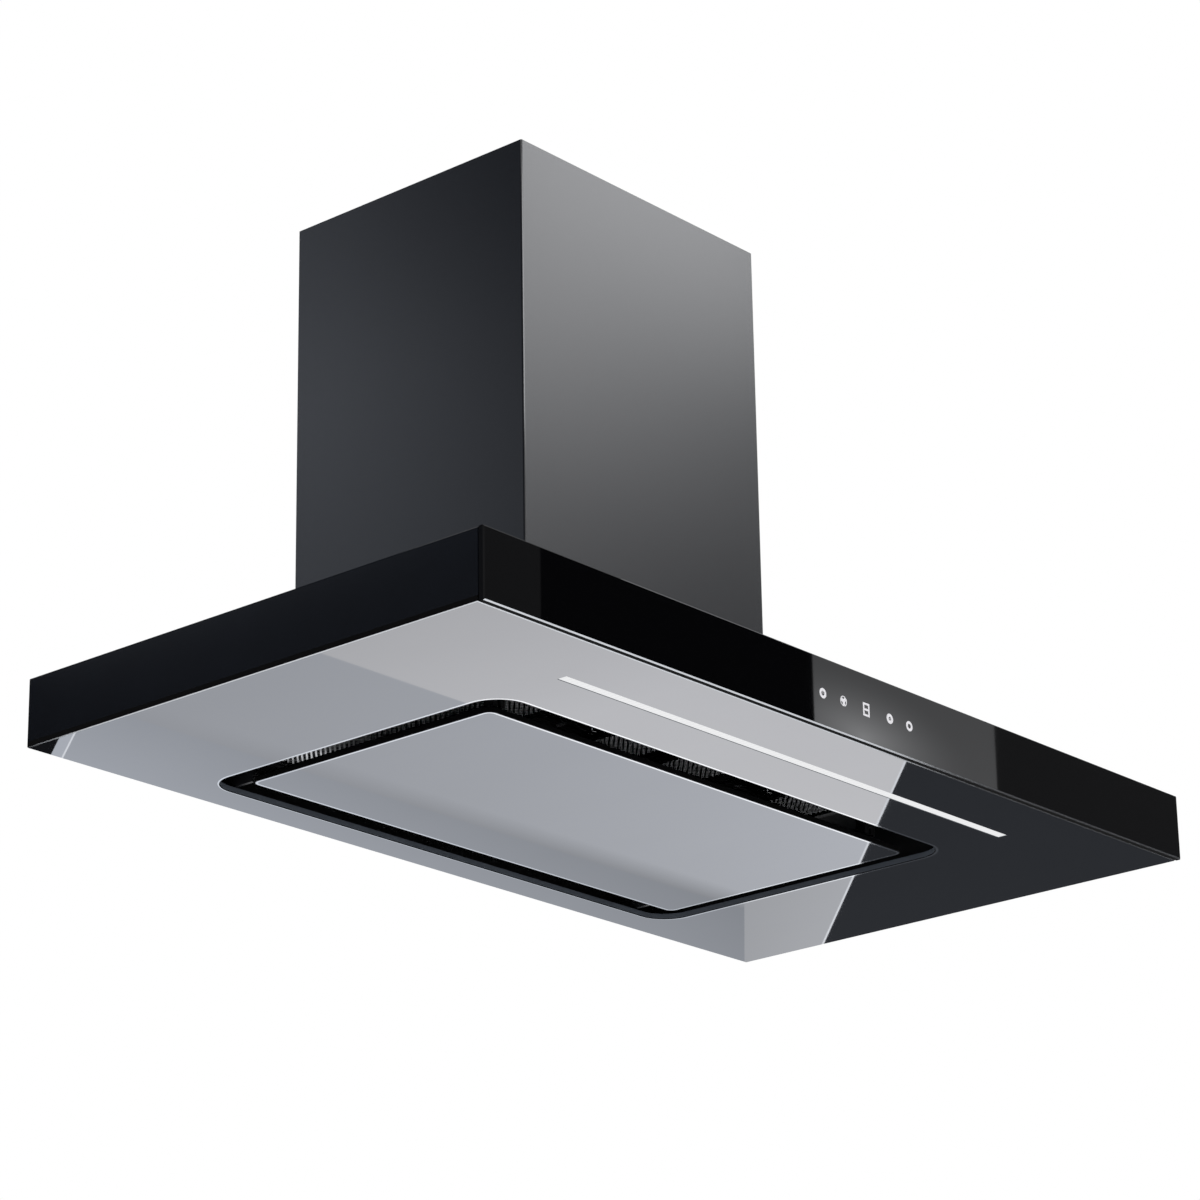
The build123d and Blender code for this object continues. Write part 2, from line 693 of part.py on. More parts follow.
with BuildPart() as wall_bracket:
    block((-bracket_width / 2, bracket_width / 2), (box_rear_y, 0), (-bracket_height / 2, bracket_height / 2))
    for x in (-wall_screw_spacing_x / 2, wall_screw_spacing_x / 2):
        for z in (-wall_screw_spacing_z / 2, wall_screw_spacing_z / 2):
            rod(wall_screw_hole_radius, (x, box_rear_y, z), -box_rear_y, (0, 1, 0), Mode.SUBTRACT)
save(wall_bracket, "wall_bracket")

with BuildPart() as sheet_screws:
    for x, y in flange_screws:
        rod(screw_head_radius, (x, y, box_base + box_sheet), screw_head_height, (0, 0, 1))
        rod(screw_radius, (x, y, box_base + box_sheet), -screw_reach, (0, 0, 1))
    for x, y in cover_screws:
        rod(screw_head_radius, (x, y, ceiling_z), -screw_head_height, (0, 0, 1))
        rod(screw_radius, (x, y, ceiling_z), screw_reach, (0, 0, 1))
save(sheet_screws, "sheet_screws")

# ---------------------------------------------------------------- volute, wheel and motor
def scroll_outline(inset, top):
    """Closed volute outline round the wheel axis, its chute open upwards to a level."""
    chute_left = scroll_start_radius * cos(radians(scroll_start_angle)) + inset
    start = acos(chute_left / (scroll_start_radius - inset))
    turn = tau - start
    points = []
    for step in range(scroll_steps + 1):
        share = step / scroll_steps
        angle = start + turn * share
        radius = scroll_start_radius + (scroll_end_radius - scroll_start_radius) * share - inset
        points.append((wheel_x + radius * cos(angle), wheel_z + radius * sin(angle)))
    with BuildLine() as outline:
        Spline(*points)
        Polyline(points[-1], (points[-1][0], top), (points[0][0], top), points[0])
    return outline


def front_plane(y):
    """Drawing plane parallel to the wall, X to the right and Z up, facing the front."""
    return Plane(origin=(0, y, 0), x_dir=(1, 0, 0), z_dir=(0, -1, 0))


chute_top = box_top - box_sheet
outer_outline = scroll_outline(0.0, chute_top)
inner_outline = scroll_outline(scroll_sheet, chute_top)

with BuildPart() as scroll_wall:
    with BuildSketch(front_plane(scroll_rear_y)):
        add(outer_outline.line)
        make_face()
    extrude(amount=scroll_width)
    with BuildSketch(front_plane(scroll_rear_y)):
        add(inner_outline.line)
        make_face()
    extrude(amount=scroll_width, mode=Mode.SUBTRACT)
save(scroll_wall, "scroll_wall")


def make_scroll_side(near_y):
    """One flat side of the volute, with the air inlet round the wheel axis."""
    with BuildPart() as side_plate:
        with BuildSketch(front_plane(near_y)):
            add(outer_outline.line)
            make_face()
            with Locations((wheel_x, wheel_z)):
                Circle(inlet_radius + inlet_sheet, mode=Mode.SUBTRACT)
        extrude(amount=scroll_sheet)
    return side_plate


save(make_scroll_side(scroll_front_y), "scroll_front_plate")
save(make_scroll_side(scroll_rear_y + scroll_sheet), "scroll_rear_plate")


front_plate_y = scroll_front_y - scroll_sheet
rear_plate_y = scroll_rear_y + scroll_sheet

with BuildPart() as inlet_rings:
    for plate_y, outward in ((front_plate_y, -1), (rear_plate_y, 1)):
        flange_y = plate_y + outward * inlet_sheet
        rod(inlet_radius + inlet_flange, (wheel_x, flange_y, wheel_z), -outward * inlet_sheet, (0, 1, 0))
        lip_length = scroll_sheet + inlet_lip
        rod(inlet_radius + inlet_sheet, (wheel_x, plate_y, wheel_z), -outward * lip_length, (0, 1, 0))
        through = inlet_sheet + lip_length
        rod(inlet_radius, (wheel_x, flange_y, wheel_z), -outward * through, (0, 1, 0), Mode.SUBTRACT)
save(inlet_rings, "inlet_rings")

motor_rear_y = rear_plate_y + inlet_sheet
motor_front_y = motor_rear_y - motor_length
shaft_rear_y = motor_rear_y - shaft_inset
shaft_end_y = blower_y - hub_length / 2 - nut_height

with BuildPart() as fan_wheel:
    wheel_rear = (wheel_x, blower_y + wheel_width / 2, wheel_z)
    with BuildSketch(front_plane(wheel_rear[1])):
        with Locations((wheel_x, wheel_z)):
            with PolarLocations(wheel_radius - wheel_blade_depth / 2, wheel_blades):
                Rectangle(wheel_blade_depth, blade_thickness, rotation=blade_angle)
    extrude(amount=wheel_width)
    ring_starts = (wheel_rear[1], blower_y - wheel_width / 2 + wheel_ring)
    for ring_y in ring_starts:
        with BuildSketch(front_plane(ring_y)):
            with Locations((wheel_x, wheel_z)):
                Circle(wheel_radius)
                Circle(wheel_radius - wheel_blade_depth, mode=Mode.SUBTRACT)
        extrude(amount=wheel_ring)
    rod(wheel_radius - wheel_ring, (wheel_x, blower_y + wheel_ring / 2, wheel_z), -wheel_ring, (0, 1, 0))
    rod(hub_radius, (wheel_x, blower_y + hub_length / 2, wheel_z), -hub_length, (0, 1, 0))
    rod(shaft_radius, wheel_rear, -wheel_width, (0, 1, 0), Mode.SUBTRACT)
save(fan_wheel, "fan_wheel")

with BuildPart() as motor_shaft:
    rod(shaft_radius, (wheel_x, shaft_rear_y, wheel_z), shaft_end_y - shaft_rear_y, (0, 1, 0))
save(motor_shaft, "motor_shaft")

with BuildPart() as wheel_nut:
    with BuildSketch(front_plane(blower_y - hub_length / 2)):
        with Locations((wheel_x, wheel_z)):
            RegularPolygon(nut_radius, 6)
            Circle(shaft_radius, mode=Mode.SUBTRACT)
    extrude(amount=nut_height)
save(wheel_nut, "wheel_nut")

with BuildPart() as motor:
    rod(motor_radius, (wheel_x, motor_rear_y, wheel_z), -motor_length, (0, 1, 0))
    fillet(motor.edges().filter_by(GeomType.CIRCLE), motor_rounding)
    bore_start = (wheel_x, shaft_rear_y + shaft_fit, wheel_z)
    bore_length = shaft_rear_y + shaft_fit - motor_front_y
    rod(shaft_radius + shaft_fit, bore_start, -bore_length, (0, 1, 0), Mode.SUBTRACT)
save(motor, "motor")

with BuildPart() as motor_spider:
    rod(spider_disc_radius, (wheel_x, motor_rear_y, wheel_z), spider_thickness, (0, 1, 0))
    arm_length = inlet_radius + inlet_flange
    with BuildSketch(front_plane(motor_rear_y + spider_thickness)):
        with Locations((wheel_x, wheel_z)):
            with PolarLocations(arm_length / 2, spider_arms, start_angle=90):
                Rectangle(arm_length, spider_arm_width)
    extrude(amount=spider_thickness)
save(motor_spider, "motor_spider")

# ---------------------------------------------------------------- outlet adaptor, collar and its two flaps
adaptor_half = adaptor_width / 2
adaptor_y = (blower_y - adaptor_depth / 2, blower_y + adaptor_depth / 2)
collar_inner = collar_radius - collar_sheet

with BuildPart() as outlet_adaptor:
    block((-adaptor_half, adaptor_half), adaptor_y, (box_top, adaptor_top))
    block(
        (-adaptor_half + adaptor_sheet, adaptor_half - adaptor_sheet),
        (adaptor_y[0] + adaptor_sheet, adaptor_y[1] - adaptor_sheet),
        (box_top, adaptor_top - adaptor_sheet),
        Mode.SUBTRACT,
    )
    rod(collar_inner, (0, blower_y, adaptor_top - adaptor_sheet), adaptor_sheet, (0, 0, 1), Mode.SUBTRACT)
save(outlet_adaptor, "outlet_adaptor")

flap_z = adaptor_top + flap_height
ledge_top = flap_z - flap_thickness / 2 - latch_fit
pin_half = (collar_inner ** 2 - (flap_axis_x + flap_pin_radius) ** 2) ** 0.5

with BuildPart() as duct_collar:
    rod(collar_radius, (0, blower_y, adaptor_top), collar_height, (0, 0, 1))
    rod(collar_inner, (0, blower_y, ledge_top), collar_height, (0, 0, 1), Mode.SUBTRACT)
    rod(collar_inner - collar_ledge, (0, blower_y, adaptor_top), collar_height, (0, 0, 1), Mode.SUBTRACT)
    for side in (-1, 1):
        seat_start = (side * flap_axis_x, blower_y - pin_half, flap_z)
        rod(flap_pin_radius, seat_start, 2 * pin_half, (0, 1, 0), Mode.SUBTRACT)
save(duct_collar, "duct_collar")

with BuildPart() as flap_pins:
    for side in (-1, 1):
        rod(flap_pin_radius, (side * flap_axis_x, blower_y - pin_half, flap_z), 2 * pin_half, (0, 1, 0))
save(flap_pins, "flap_pins")


def make_flap(side):
    """Half-round check flap with the sleeve that turns on its pin."""
    with BuildPart() as flap:
        radius = collar_inner - flap_fit
        with BuildSketch(Plane.XY.offset(flap_z - flap_thickness / 2)):
            with Locations((0, blower_y)):
                Circle(radius)
            far = side * radius
            near = side * flap_axis_x
            with Locations(((near + far) / 2, blower_y)):
                Rectangle(abs(far - near), 2 * radius, mode=Mode.INTERSECT)
        extrude(amount=flap_thickness)
        sleeve_half = radius - 2 * flap_sleeve_radius
        sleeve_start = (side * flap_axis_x, blower_y - sleeve_half, flap_z)
        rod(flap_sleeve_radius, sleeve_start, 2 * sleeve_half, (0, 1, 0))
        pin_start = (side * flap_axis_x, blower_y - collar_radius, flap_z)
        rod(flap_pin_radius + shaft_fit, pin_start, 2 * collar_radius, (0, 1, 0), Mode.SUBTRACT)
    return flap


save(make_flap(-1), "check_flap_left")
save(make_flap(1), "check_flap_right")

# ---------------------------------------------------------------- electrics
electronics_top = ceiling_z - electronics_cover_thickness
electronics_base = electronics_top - electronics_height
case_x = (electronics_x - electronics_width / 2, electronics_x + electronics_width / 2)
case_y = (electronics_y - electronics_depth / 2, electronics_y + electronics_depth / 2)
case_inner_x = (case_x[0] + electronics_wall, case_x[1] - electronics_wall)
case_inner_y = (case_y[0] + electronics_wall, case_y[1] - electronics_wall)
case_floor = electronics_base + electronics_wall

with BuildPart() as electronics_case:
    block(case_x, case_y, (electronics_base, electronics_top))
    block(case_inner_x, case_inner_y, (case_floor, electronics_top), Mode.SUBTRACT)
save(electronics_case, "electronics_case")

with BuildPart() as electronics_cover:
    block(case_x, case_y, (electronics_top, ceiling_z))
save(electronics_cover, "electronics_cover")

board_base = case_floor + standoff_height
power_board_top = board_base + board_thickness

with BuildPart() as power_board:
    block(
        (case_inner_x[0] + board_margin, case_inner_x[1] - board_margin),
        (case_inner_y[0] + board_margin, case_inner_y[1] - board_margin),
        (board_base, power_board_top),
    )
    with Locations((electronics_x, electronics_y, case_floor + standoff_height / 2)):
        with GridLocations(*standoff_spacing, 2, 2):
            Cylinder(standoff_radius, standoff_height)
save(power_board, "power_board")

with BuildPart() as motor_capacitor:
    capacitor_start = (
        case_inner_x[0] + capacitor_radius + board_margin + lug_gap,
        electronics_y - capacitor_length / 2,
        power_board_top + capacitor_radius,
    )
    rod(capacitor_radius, capacitor_start, capacitor_length, (0, 1, 0))
save(motor_capacitor, "motor_capacitor")

with BuildPart() as lamp_driver:
    driver_x = (electronics_x, electronics_x + driver_length)
    driver_y = (electronics_y - driver_depth, electronics_y)
    block(driver_x, driver_y, (power_board_top, power_board_top + driver_height))
save(lamp_driver, "lamp_driver")

with BuildPart() as terminal_block:
    terminal_y = electronics_y + terminal_offset
    with Locations((electronics_x, terminal_y, power_board_top + terminal_height / 2)):
        Box(poles * pole_pitch, terminal_depth, terminal_height)
    with Locations((electronics_x, terminal_y, power_board_top + terminal_height)):
        with GridLocations(pole_pitch, 1, poles, 1):
            Cylinder(terminal_bore_radius, terminal_height, mode=Mode.SUBTRACT)
save(terminal_block, "terminal_block")

with BuildPart() as cable_gland:
    gland_base = box_top - box_sheet - gland_drop
    rod(gland_radius, (gland_x, gland_y, gland_base), gland_length, (0, 0, 1))
    for flange_z in (box_top - box_sheet - gland_flange, box_top):
        rod(gland_radius + gland_flange, (gland_x, gland_y, flange_z), gland_flange, (0, 0, 1))
    rod(gland_bore_radius, (gland_x, gland_y, gland_base), gland_length, (0, 0, 1), Mode.SUBTRACT)
save(cable_gland, "cable_gland")


# ---------------------------------------------------------------- chimney covers
def make_cover(half, front_y, rear_y, base_z, top_z, bend):
    """Three-sided cover with rounded front corners and a return flange down each rear edge."""
    with BuildPart() as cover:
        block((-half, half), (front_y, rear_y), (base_z, top_z))
        fillet(cover.edges().filter_by(Axis.Z).group_by(Axis.Y)[0], bend)
        inner_half = half - chimney_sheet
        inner_y = (front_y + chimney_sheet, rear_y - chimney_sheet)
        block((-inner_half, inner_half), inner_y, (base_z, top_z), Mode.SUBTRACT)
        gap_half = inner_half - chimney_return
        block((-gap_half, gap_half), (inner_y[1], rear_y), (base_z, top_z), Mode.SUBTRACT)
    return cover


lower_half = chimney_width / 2
lower_cover = make_cover(lower_half, -chimney_depth, 0, canopy_top, chimney_top, chimney_bend_radius)

with BuildPart() as chimney_lower:
    add(lower_cover.part)
    inner_half = lower_half - chimney_sheet
    for side in (-1, 1):
        foot_x = sorted((side * inner_half, side * (inner_half - chimney_flange)))
        foot_y = (-chimney_depth + chimney_sheet, -chimney_sheet)
        block(foot_x, foot_y, (canopy_top, canopy_top + chimney_sheet))
    with Locations([(x, y, canopy_top + chimney_sheet / 2) for x, y in cover_screws]):
        Cylinder(screw_hole_radius, chimney_sheet, mode=Mode.SUBTRACT)
save(chimney_lower, "chimney_lower")

upper_half = chimney_width / 2 - chimney_sheet - cover_gap
upper_front_y = -chimney_depth + chimney_sheet + cover_gap
upper_rear_y = -chimney_sheet - cover_rear_gap
upper_top = upper_base + upper_height
upper_bend = chimney_bend_radius - cover_gap / 2
upper_cover = make_cover(upper_half, upper_front_y, upper_rear_y, upper_base, upper_top, upper_bend)

with BuildPart() as chimney_upper:
    add(upper_cover.part)
    first_slot_z = upper_top - vent_slot_top
    for row in range(vent_slot_rows):
        slot_z = first_slot_z - row * vent_slot_pitch
        slot_y = (blower_y - vent_slot_length / 2, blower_y + vent_slot_length / 2)
        slot_span = (slot_z - vent_slot_width / 2, slot_z + vent_slot_width / 2)
        block((-upper_half, upper_half), slot_y, slot_span, Mode.SUBTRACT)
save(chimney_upper, "chimney_upper")

with BuildPart() as chimney_wall_bracket:
    bracket_half = upper_half - chimney_sheet - chimney_return - cover_gap
    side_half = upper_half - chimney_sheet
    bracket_z = (upper_top - cover_bracket_drop, upper_top)
    rear_y = upper_rear_y - chimney_sheet
    block((-side_half, side_half), (rear_y - cover_bracket_sheet, rear_y), bracket_z)
    for side in (-1, 1):
        ear_x = sorted((side * side_half, side * (side_half - cover_bracket_sheet)))
        block(ear_x, (rear_y - cover_bracket_depth, rear_y), bracket_z)
    block((-bracket_half, bracket_half), (rear_y, 0), bracket_z)
    for x in (-cover_bracket_screws / 2, cover_bracket_screws / 2):
        hole_start = (x, rear_y - cover_bracket_sheet, sum(bracket_z) / 2)
        rod(wall_screw_hole_radius, hole_start, cover_bracket_sheet - rear_y, (0, 1, 0), Mode.SUBTRACT)
save(chimney_wall_bracket, "chimney_wall_bracket")
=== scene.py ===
import json
import math

import bmesh
import bpy
from mathutils import Euler, Matrix, Vector

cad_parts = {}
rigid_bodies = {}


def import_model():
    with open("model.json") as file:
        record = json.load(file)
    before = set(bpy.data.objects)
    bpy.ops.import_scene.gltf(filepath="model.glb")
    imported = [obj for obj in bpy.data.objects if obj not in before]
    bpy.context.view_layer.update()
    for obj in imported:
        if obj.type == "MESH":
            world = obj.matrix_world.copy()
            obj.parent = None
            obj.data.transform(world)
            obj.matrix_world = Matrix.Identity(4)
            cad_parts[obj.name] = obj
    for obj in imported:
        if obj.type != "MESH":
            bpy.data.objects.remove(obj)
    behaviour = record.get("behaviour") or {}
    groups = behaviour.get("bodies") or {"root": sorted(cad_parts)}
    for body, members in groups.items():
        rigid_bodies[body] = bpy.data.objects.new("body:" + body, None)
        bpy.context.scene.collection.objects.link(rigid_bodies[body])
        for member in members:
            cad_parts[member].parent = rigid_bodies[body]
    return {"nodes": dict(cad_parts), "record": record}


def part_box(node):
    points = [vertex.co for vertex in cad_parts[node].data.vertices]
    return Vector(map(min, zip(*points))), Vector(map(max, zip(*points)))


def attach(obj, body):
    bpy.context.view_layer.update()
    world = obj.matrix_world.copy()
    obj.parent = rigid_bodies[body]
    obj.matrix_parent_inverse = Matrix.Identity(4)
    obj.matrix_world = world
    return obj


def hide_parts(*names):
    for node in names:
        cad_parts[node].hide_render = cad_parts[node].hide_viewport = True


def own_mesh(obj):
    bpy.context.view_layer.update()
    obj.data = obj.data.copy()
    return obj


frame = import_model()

MM = 0.001
X, Y, Z = 0, 1, 2

# ---------------------------------------------------------------- camera
CAMERA_PLACE = (-2.425921, -2.300422, -1.185454)
CAMERA_TURN = (110.3526, 0.8911, -48.9435)   # degrees, XYZ order
CAMERA_LENS = 119.949                       # mm on a 36 mm sensor

# ---------------------------------------------------------------- studio
AMBIENT = 0.75            # world strength for diffuse light
FLOOR_LEVEL = -2.9        # well below the hood, so low views stay clear of it
FLOOR_SIZE = 24.0
KEY_PLACE = (-2.6, -3.0, 2.6)
KEY_SIZE = 2.4
KEY_POWER = 110.0
FILL_PLACE = (3.0, -2.2, 1.0)
FILL_SIZE = 2.0
FILL_POWER = 35.0
PLAIN_TINT = (0.965, 0.975, 1.0, 1)     # colours of the light cards
PANEL_TINT = (0.95, 0.97, 1.015, 1)
COOL_TINT = (0.93, 0.965, 1.03, 1)
SHADE_TINT = (0.90, 0.96, 1.08, 1)
NEUTRAL_TINT = (1.0, 0.988, 0.99, 1)
BAND_REACH = 0.6
# Soft box that the chimney's front reflects: height on it, strength at its left and at its right.
CHIMNEY_FRONT_ROWS = (
    (-0.25, 0.2, 0.0),
    (0.035, 1.4, 0.1),
    (0.195, 3.45, 0.55),
    (0.355, 4.3, 4.0),
    (0.65, 4.7, 5.2),
)
# The same for its side: height on it, strength at its front, middle and rear.
CHIMNEY_SIDE_ROWS = (
    (-0.25, 0.28, 0.46, 0.60),
    (0.035, 0.26, 0.52, 0.76),
    (0.195, 0.03, 0.56, 1.20),
    (0.355, 0.0, 0.19, 0.84),
    (0.65, 0.0, 0.10, 0.55),
)

# ---------------------------------------------------------------- pieces
MESH_LONG_PITCH = 5.8 * MM      # expanded sheet, along the hood
MESH_SHORT_PITCH = 5.4 * MM     # expanded sheet, front to back
STRAND_WIDTH = 1.4 * MM
STRAND_THICKNESS = 0.3 * MM
RISING_TILT = -6.0              # degrees; the two families of strands lean by different angles
FALLING_TILT = 20.0
STRAND_DROP = 0.85 * MM         # how far a rising strand comes down along its run
MESH_LAYERS = 2
MESH_LAYER_STEP = 2.6 * MM
MESH_CLEARANCE = 0.6 * MM       # from the cells to the handle plate

# Painted highlight: the strips below are bright mirror metal laid just under the glass, for the shine of
# the glass edges.
PAINTED_HIGHLIGHT_WIDTH = 2.2 * MM      # bright line along the rim of the opening and of the panel
PAINTED_HIGHLIGHT_REAR = 0.35           # share of that width at the rear of the opening
PAINTED_HIGHLIGHT_PROUD = 0.02 * MM
PANE_MARGIN = 5.0 * MM          # edges further in than this belong to cut-outs
CHAMFER_MARGIN = 0.1 * MM       # the lower face's rim is further in than this
PLACE_DIGITS = 6                # metres, to a thousandth of a millimetre

ICON_PROUD = 0.02 * MM
ICON_RADIUS = 4.3 * MM
ICON_DETAIL = 48
DIGIT_WIDTH = 8.5 * MM
DIGIT_HEIGHT = 11.3 * MM
DIGIT_STROKE = 1.8 * MM

SPRING_WIRE = 0.22 * MM
SPRING_TURNS = 7.0
SPRING_STEPS = 18
SPRING_SIDES = 8

GLASS_ROUGHNESS = 0.008

for left_over in [o for o in bpy.data.objects if o.name in {"Cube", "Light", "Camera"}]:
    bpy.data.objects.remove(left_over)
bpy.context.view_layer.update()

nodes = frame["nodes"]
slot_of = {part["node"]: part["material_slot"] for part in frame["record"]["subparts"]}


# ================================================================ shader helpers
def new_material(name):
    """An empty principled material: (material, its tree, its shader node)."""
    material = bpy.data.materials.new(name)
    material.use_nodes = True
    tree = material.node_tree
    return material, tree, tree.nodes["Principled BSDF"]


def add(tree, kind, inputs=(), **settings):
    """A node of that kind with its settings and plain input values."""
    node = tree.nodes.new(kind)
    for key, value in settings.items():
        setattr(node, key, value)
    for key, value in dict(inputs).items():
        node.inputs[key].default_value = value
    return node


def scaled_place(tree, size, stretch=(1, 1, 1)):
    """The object's own coordinates, so that one unit is one grain of that size."""
    place = add(tree, "ShaderNodeTexCoord")
    grid = add(tree, "ShaderNodeMapping", {"Scale": [s / size for s in stretch]})
    tree.links.new(place.outputs["Object"], grid.inputs["Vector"])
    return grid.outputs["Vector"]


def noise(tree, size, stretch=(1, 1, 1), detail=3.0):
    """Cloudy noise with lumps of that size, from 0 to 1."""
    cloud = add(tree, "ShaderNodeTexNoise", {"Scale": 1.0, "Detail": detail, "Roughness": 0.55})
    tree.links.new(scaled_place(tree, size, stretch), cloud.inputs["Vector"])
    return cloud.outputs["Fac"]


def spread(tree, value, low, high, start=0.3, end=0.7):
    """Maps a noise value onto the range from low to high."""
    ranged = add(tree, "ShaderNodeMapRange", {
        "From Min": start, "From Max": end, "To Min": low, "To Max": high,
    })
    tree.links.new(value, ranged.inputs["Value"])
    return ranged.outputs["Result"]


def mixed_colour(tree, amount, first, second):
    """Blends two colours by amount."""
    blend = add(tree, "ShaderNodeMix", data_type="RGBA")
    blend.inputs["A"].default_value = (*first, 1)
    blend.inputs["B"].default_value = (*second, 1)
    tree.links.new(amount, blend.inputs["Factor"])
    return blend.outputs["Result"]


def relief(tree, shader, height, depth):
    """Raises the surface by height, at most depth metres."""
    bump = add(tree, "ShaderNodeBump", {"Strength": 1.0, "Distance": depth})
    tree.links.new(height, bump.inputs["Height"])
    tree.links.new(bump.outputs["Normal"], shader.inputs["Normal"])


def shade(colour, factor):
    """The colour, darker or lighter by factor."""
    return tuple(min(1.0, channel * factor) for channel in colour)


def surface(name, colour, roughness, metallic=0.0, ior=1.5, coat=0.0, grain=1.0 * MM, depth=0.01 * MM,
            stretch=(1, 1, 1), cloud=0.12, cloud_size=70 * MM, uneven=0.15):
    """A finish whose colour clouds gently, with an uneven gloss and a fine relief."""
    material, tree, shader = new_material(name)
    shader.inputs["Metallic"].default_value = metallic
    shader.inputs["IOR"].default_value = ior
    shader.inputs["Coat Weight"].default_value = coat
    shader.inputs["Coat Roughness"].default_value = 0.05
    tone = spread(tree, noise(tree, cloud_size), 0.0, 1.0)
    tint = mixed_colour(tree, tone, shade(colour, 1 - cloud), shade(colour, 1 + cloud))
    tree.links.new(tint, shader.inputs["Base Color"])
    fine = noise(tree, grain, stretch)
    gloss = spread(tree, fine, roughness * (1 - uneven), roughness * (1 + uneven))
    tree.links.new(gloss, shader.inputs["Roughness"])
    relief(tree, shader, fine, depth)
    return material


# ================================================================ finishes
def polished_glass(name, colour, metallic):
    """Float glass, flat and glossy, with the faintest smears."""
    material, tree, shader = new_material(name)
    shader.inputs["Metallic"].default_value = metallic
    shader.inputs["IOR"].default_value = 1.52
    smear = noise(tree, 90 * MM, (1, 0.35, 1), detail=6.0)
    tint = mixed_colour(tree, spread(tree, smear, 0.0, 1.0), shade(colour, 0.985), shade(colour, 1.015))
    tree.links.new(tint, shader.inputs["Base Color"])
    tree.links.new(spread(tree, smear, GLASS_ROUGHNESS, 2 * GLASS_ROUGHNESS), shader.inputs["Roughness"])
    relief(tree, shader, noise(tree, 2.5 * MM), 0.00004 * MM)
    return material


def painted_chamfer_highlight():
    """The ground and polished edge of the glass, given a bright mirror finish: a painted highlight along
    the lower chamfers.
    """
    return surface("chamfer_painted_highlight", (0.72, 0.74, 0.77), 0.10, metallic=1.0, grain=1.5 * MM,
                   depth=0.001 * MM, cloud=0.05, cloud_size=40 * MM)


def galvanised_steel():
    """Zinc coating with crystals a few millimetres across, each with its own tone and gloss."""
    material, tree, shader = new_material("galvanised_steel")
    shader.inputs["Metallic"].default_value = 1.0
    crystals = add(tree, "ShaderNodeTexVoronoi", {"Scale": 1.0, "Randomness": 1.0})
    tree.links.new(scaled_place(tree, 9 * MM), crystals.inputs["Vector"])
    tone = spread(tree, crystals.outputs["Color"], 0.0, 1.0, 0.1, 0.9)
    tint = mixed_colour(tree, tone, (0.42, 0.43, 0.45), (0.60, 0.61, 0.62))
    tree.links.new(tint, shader.inputs["Base Color"])
    tree.links.new(spread(tree, tone, 0.28, 0.46, 0.0, 1.0), shader.inputs["Roughness"])
    relief(tree, shader, crystals.outputs["Distance"], 0.02 * MM)
    return material


def circuit_laminate():
    """Green solder mask over copper tracks."""
    material, tree, shader = new_material("circuit_laminate")
    shader.inputs["IOR"].default_value = 1.52
    tracks = add(tree, "ShaderNodeTexBrick", {
        "Scale": 1.0, "Mortar Size": 0.09, "Brick Width": 2.4, "Row Height": 0.8, "Bias": -0.4,
    })
    tree.links.new(scaled_place(tree, 3.2 * MM), tracks.inputs["Vector"])
    track = mixed_colour(tree, tracks.outputs["Fac"], (0.010, 0.085, 0.030), (0.030, 0.190, 0.070))
    tree.links.new(track, shader.inputs["Base Color"])
    tree.links.new(spread(tree, noise(tree, 2 * MM), 0.25, 0.38), shader.inputs["Roughness"])
    relief(tree, shader, tracks.outputs["Fac"], 0.035 * MM)
    return material


def lit_diffuser():
    """Opal plastic, lit evenly from behind by a row of diodes."""
    material, tree, shader = new_material("lit_diffuser")
    shader.inputs["Base Color"].default_value = (0.25, 0.25, 0.25, 1)
    shader.inputs["Emission Color"].default_value = (0.985, 0.99, 1.0, 1)
    diodes = add(tree, "ShaderNodeTexWave", {"Scale": 1.0, "Distortion": 0.0}, wave_profile="SIN")
    tree.links.new(scaled_place(tree, 16 * MM), diodes.inputs["Vector"])
    glow = spread(tree, diodes.outputs["Fac"], 0.62, 0.67, 0.0, 1.0)
    tree.links.new(glow, shader.inputs["Emission Strength"])
    shader.inputs["Specular IOR Level"].default_value = 0.0
    fine = noise(tree, 0.6 * MM)
    tree.links.new(spread(tree, fine, 0.55, 0.7), shader.inputs["Roughness"])
    relief(tree, shader, fine, 0.01 * MM)
    return material


def white_print():
    """White ink for the touch symbols, lit softly from behind."""
    material, tree, shader = new_material("white_print")
    shader.inputs["Base Color"].default_value = (0.53, 0.52, 0.54, 1)
    shader.inputs["Emission Color"].default_value = (1.0, 0.99, 1.0, 1)
    fine = noise(tree, 0.5 * MM)
    tree.links.new(spread(tree, fine, 0.05, 0.11), shader.inputs["Emission Strength"])
    tree.links.new(spread(tree, fine, 0.35, 0.5), shader.inputs["Roughness"])
    return material


def expanded_aluminium():
    """Bright slit sheet with scratches from stretching."""
    return surface("expanded_aluminium", (0.92, 0.93, 0.94), 0.40, metallic=1.0, grain=0.8 * MM,
                   depth=0.0008 * MM, stretch=(1, 2, 1), cloud=0.05, cloud_size=12 * MM, uneven=0.2)


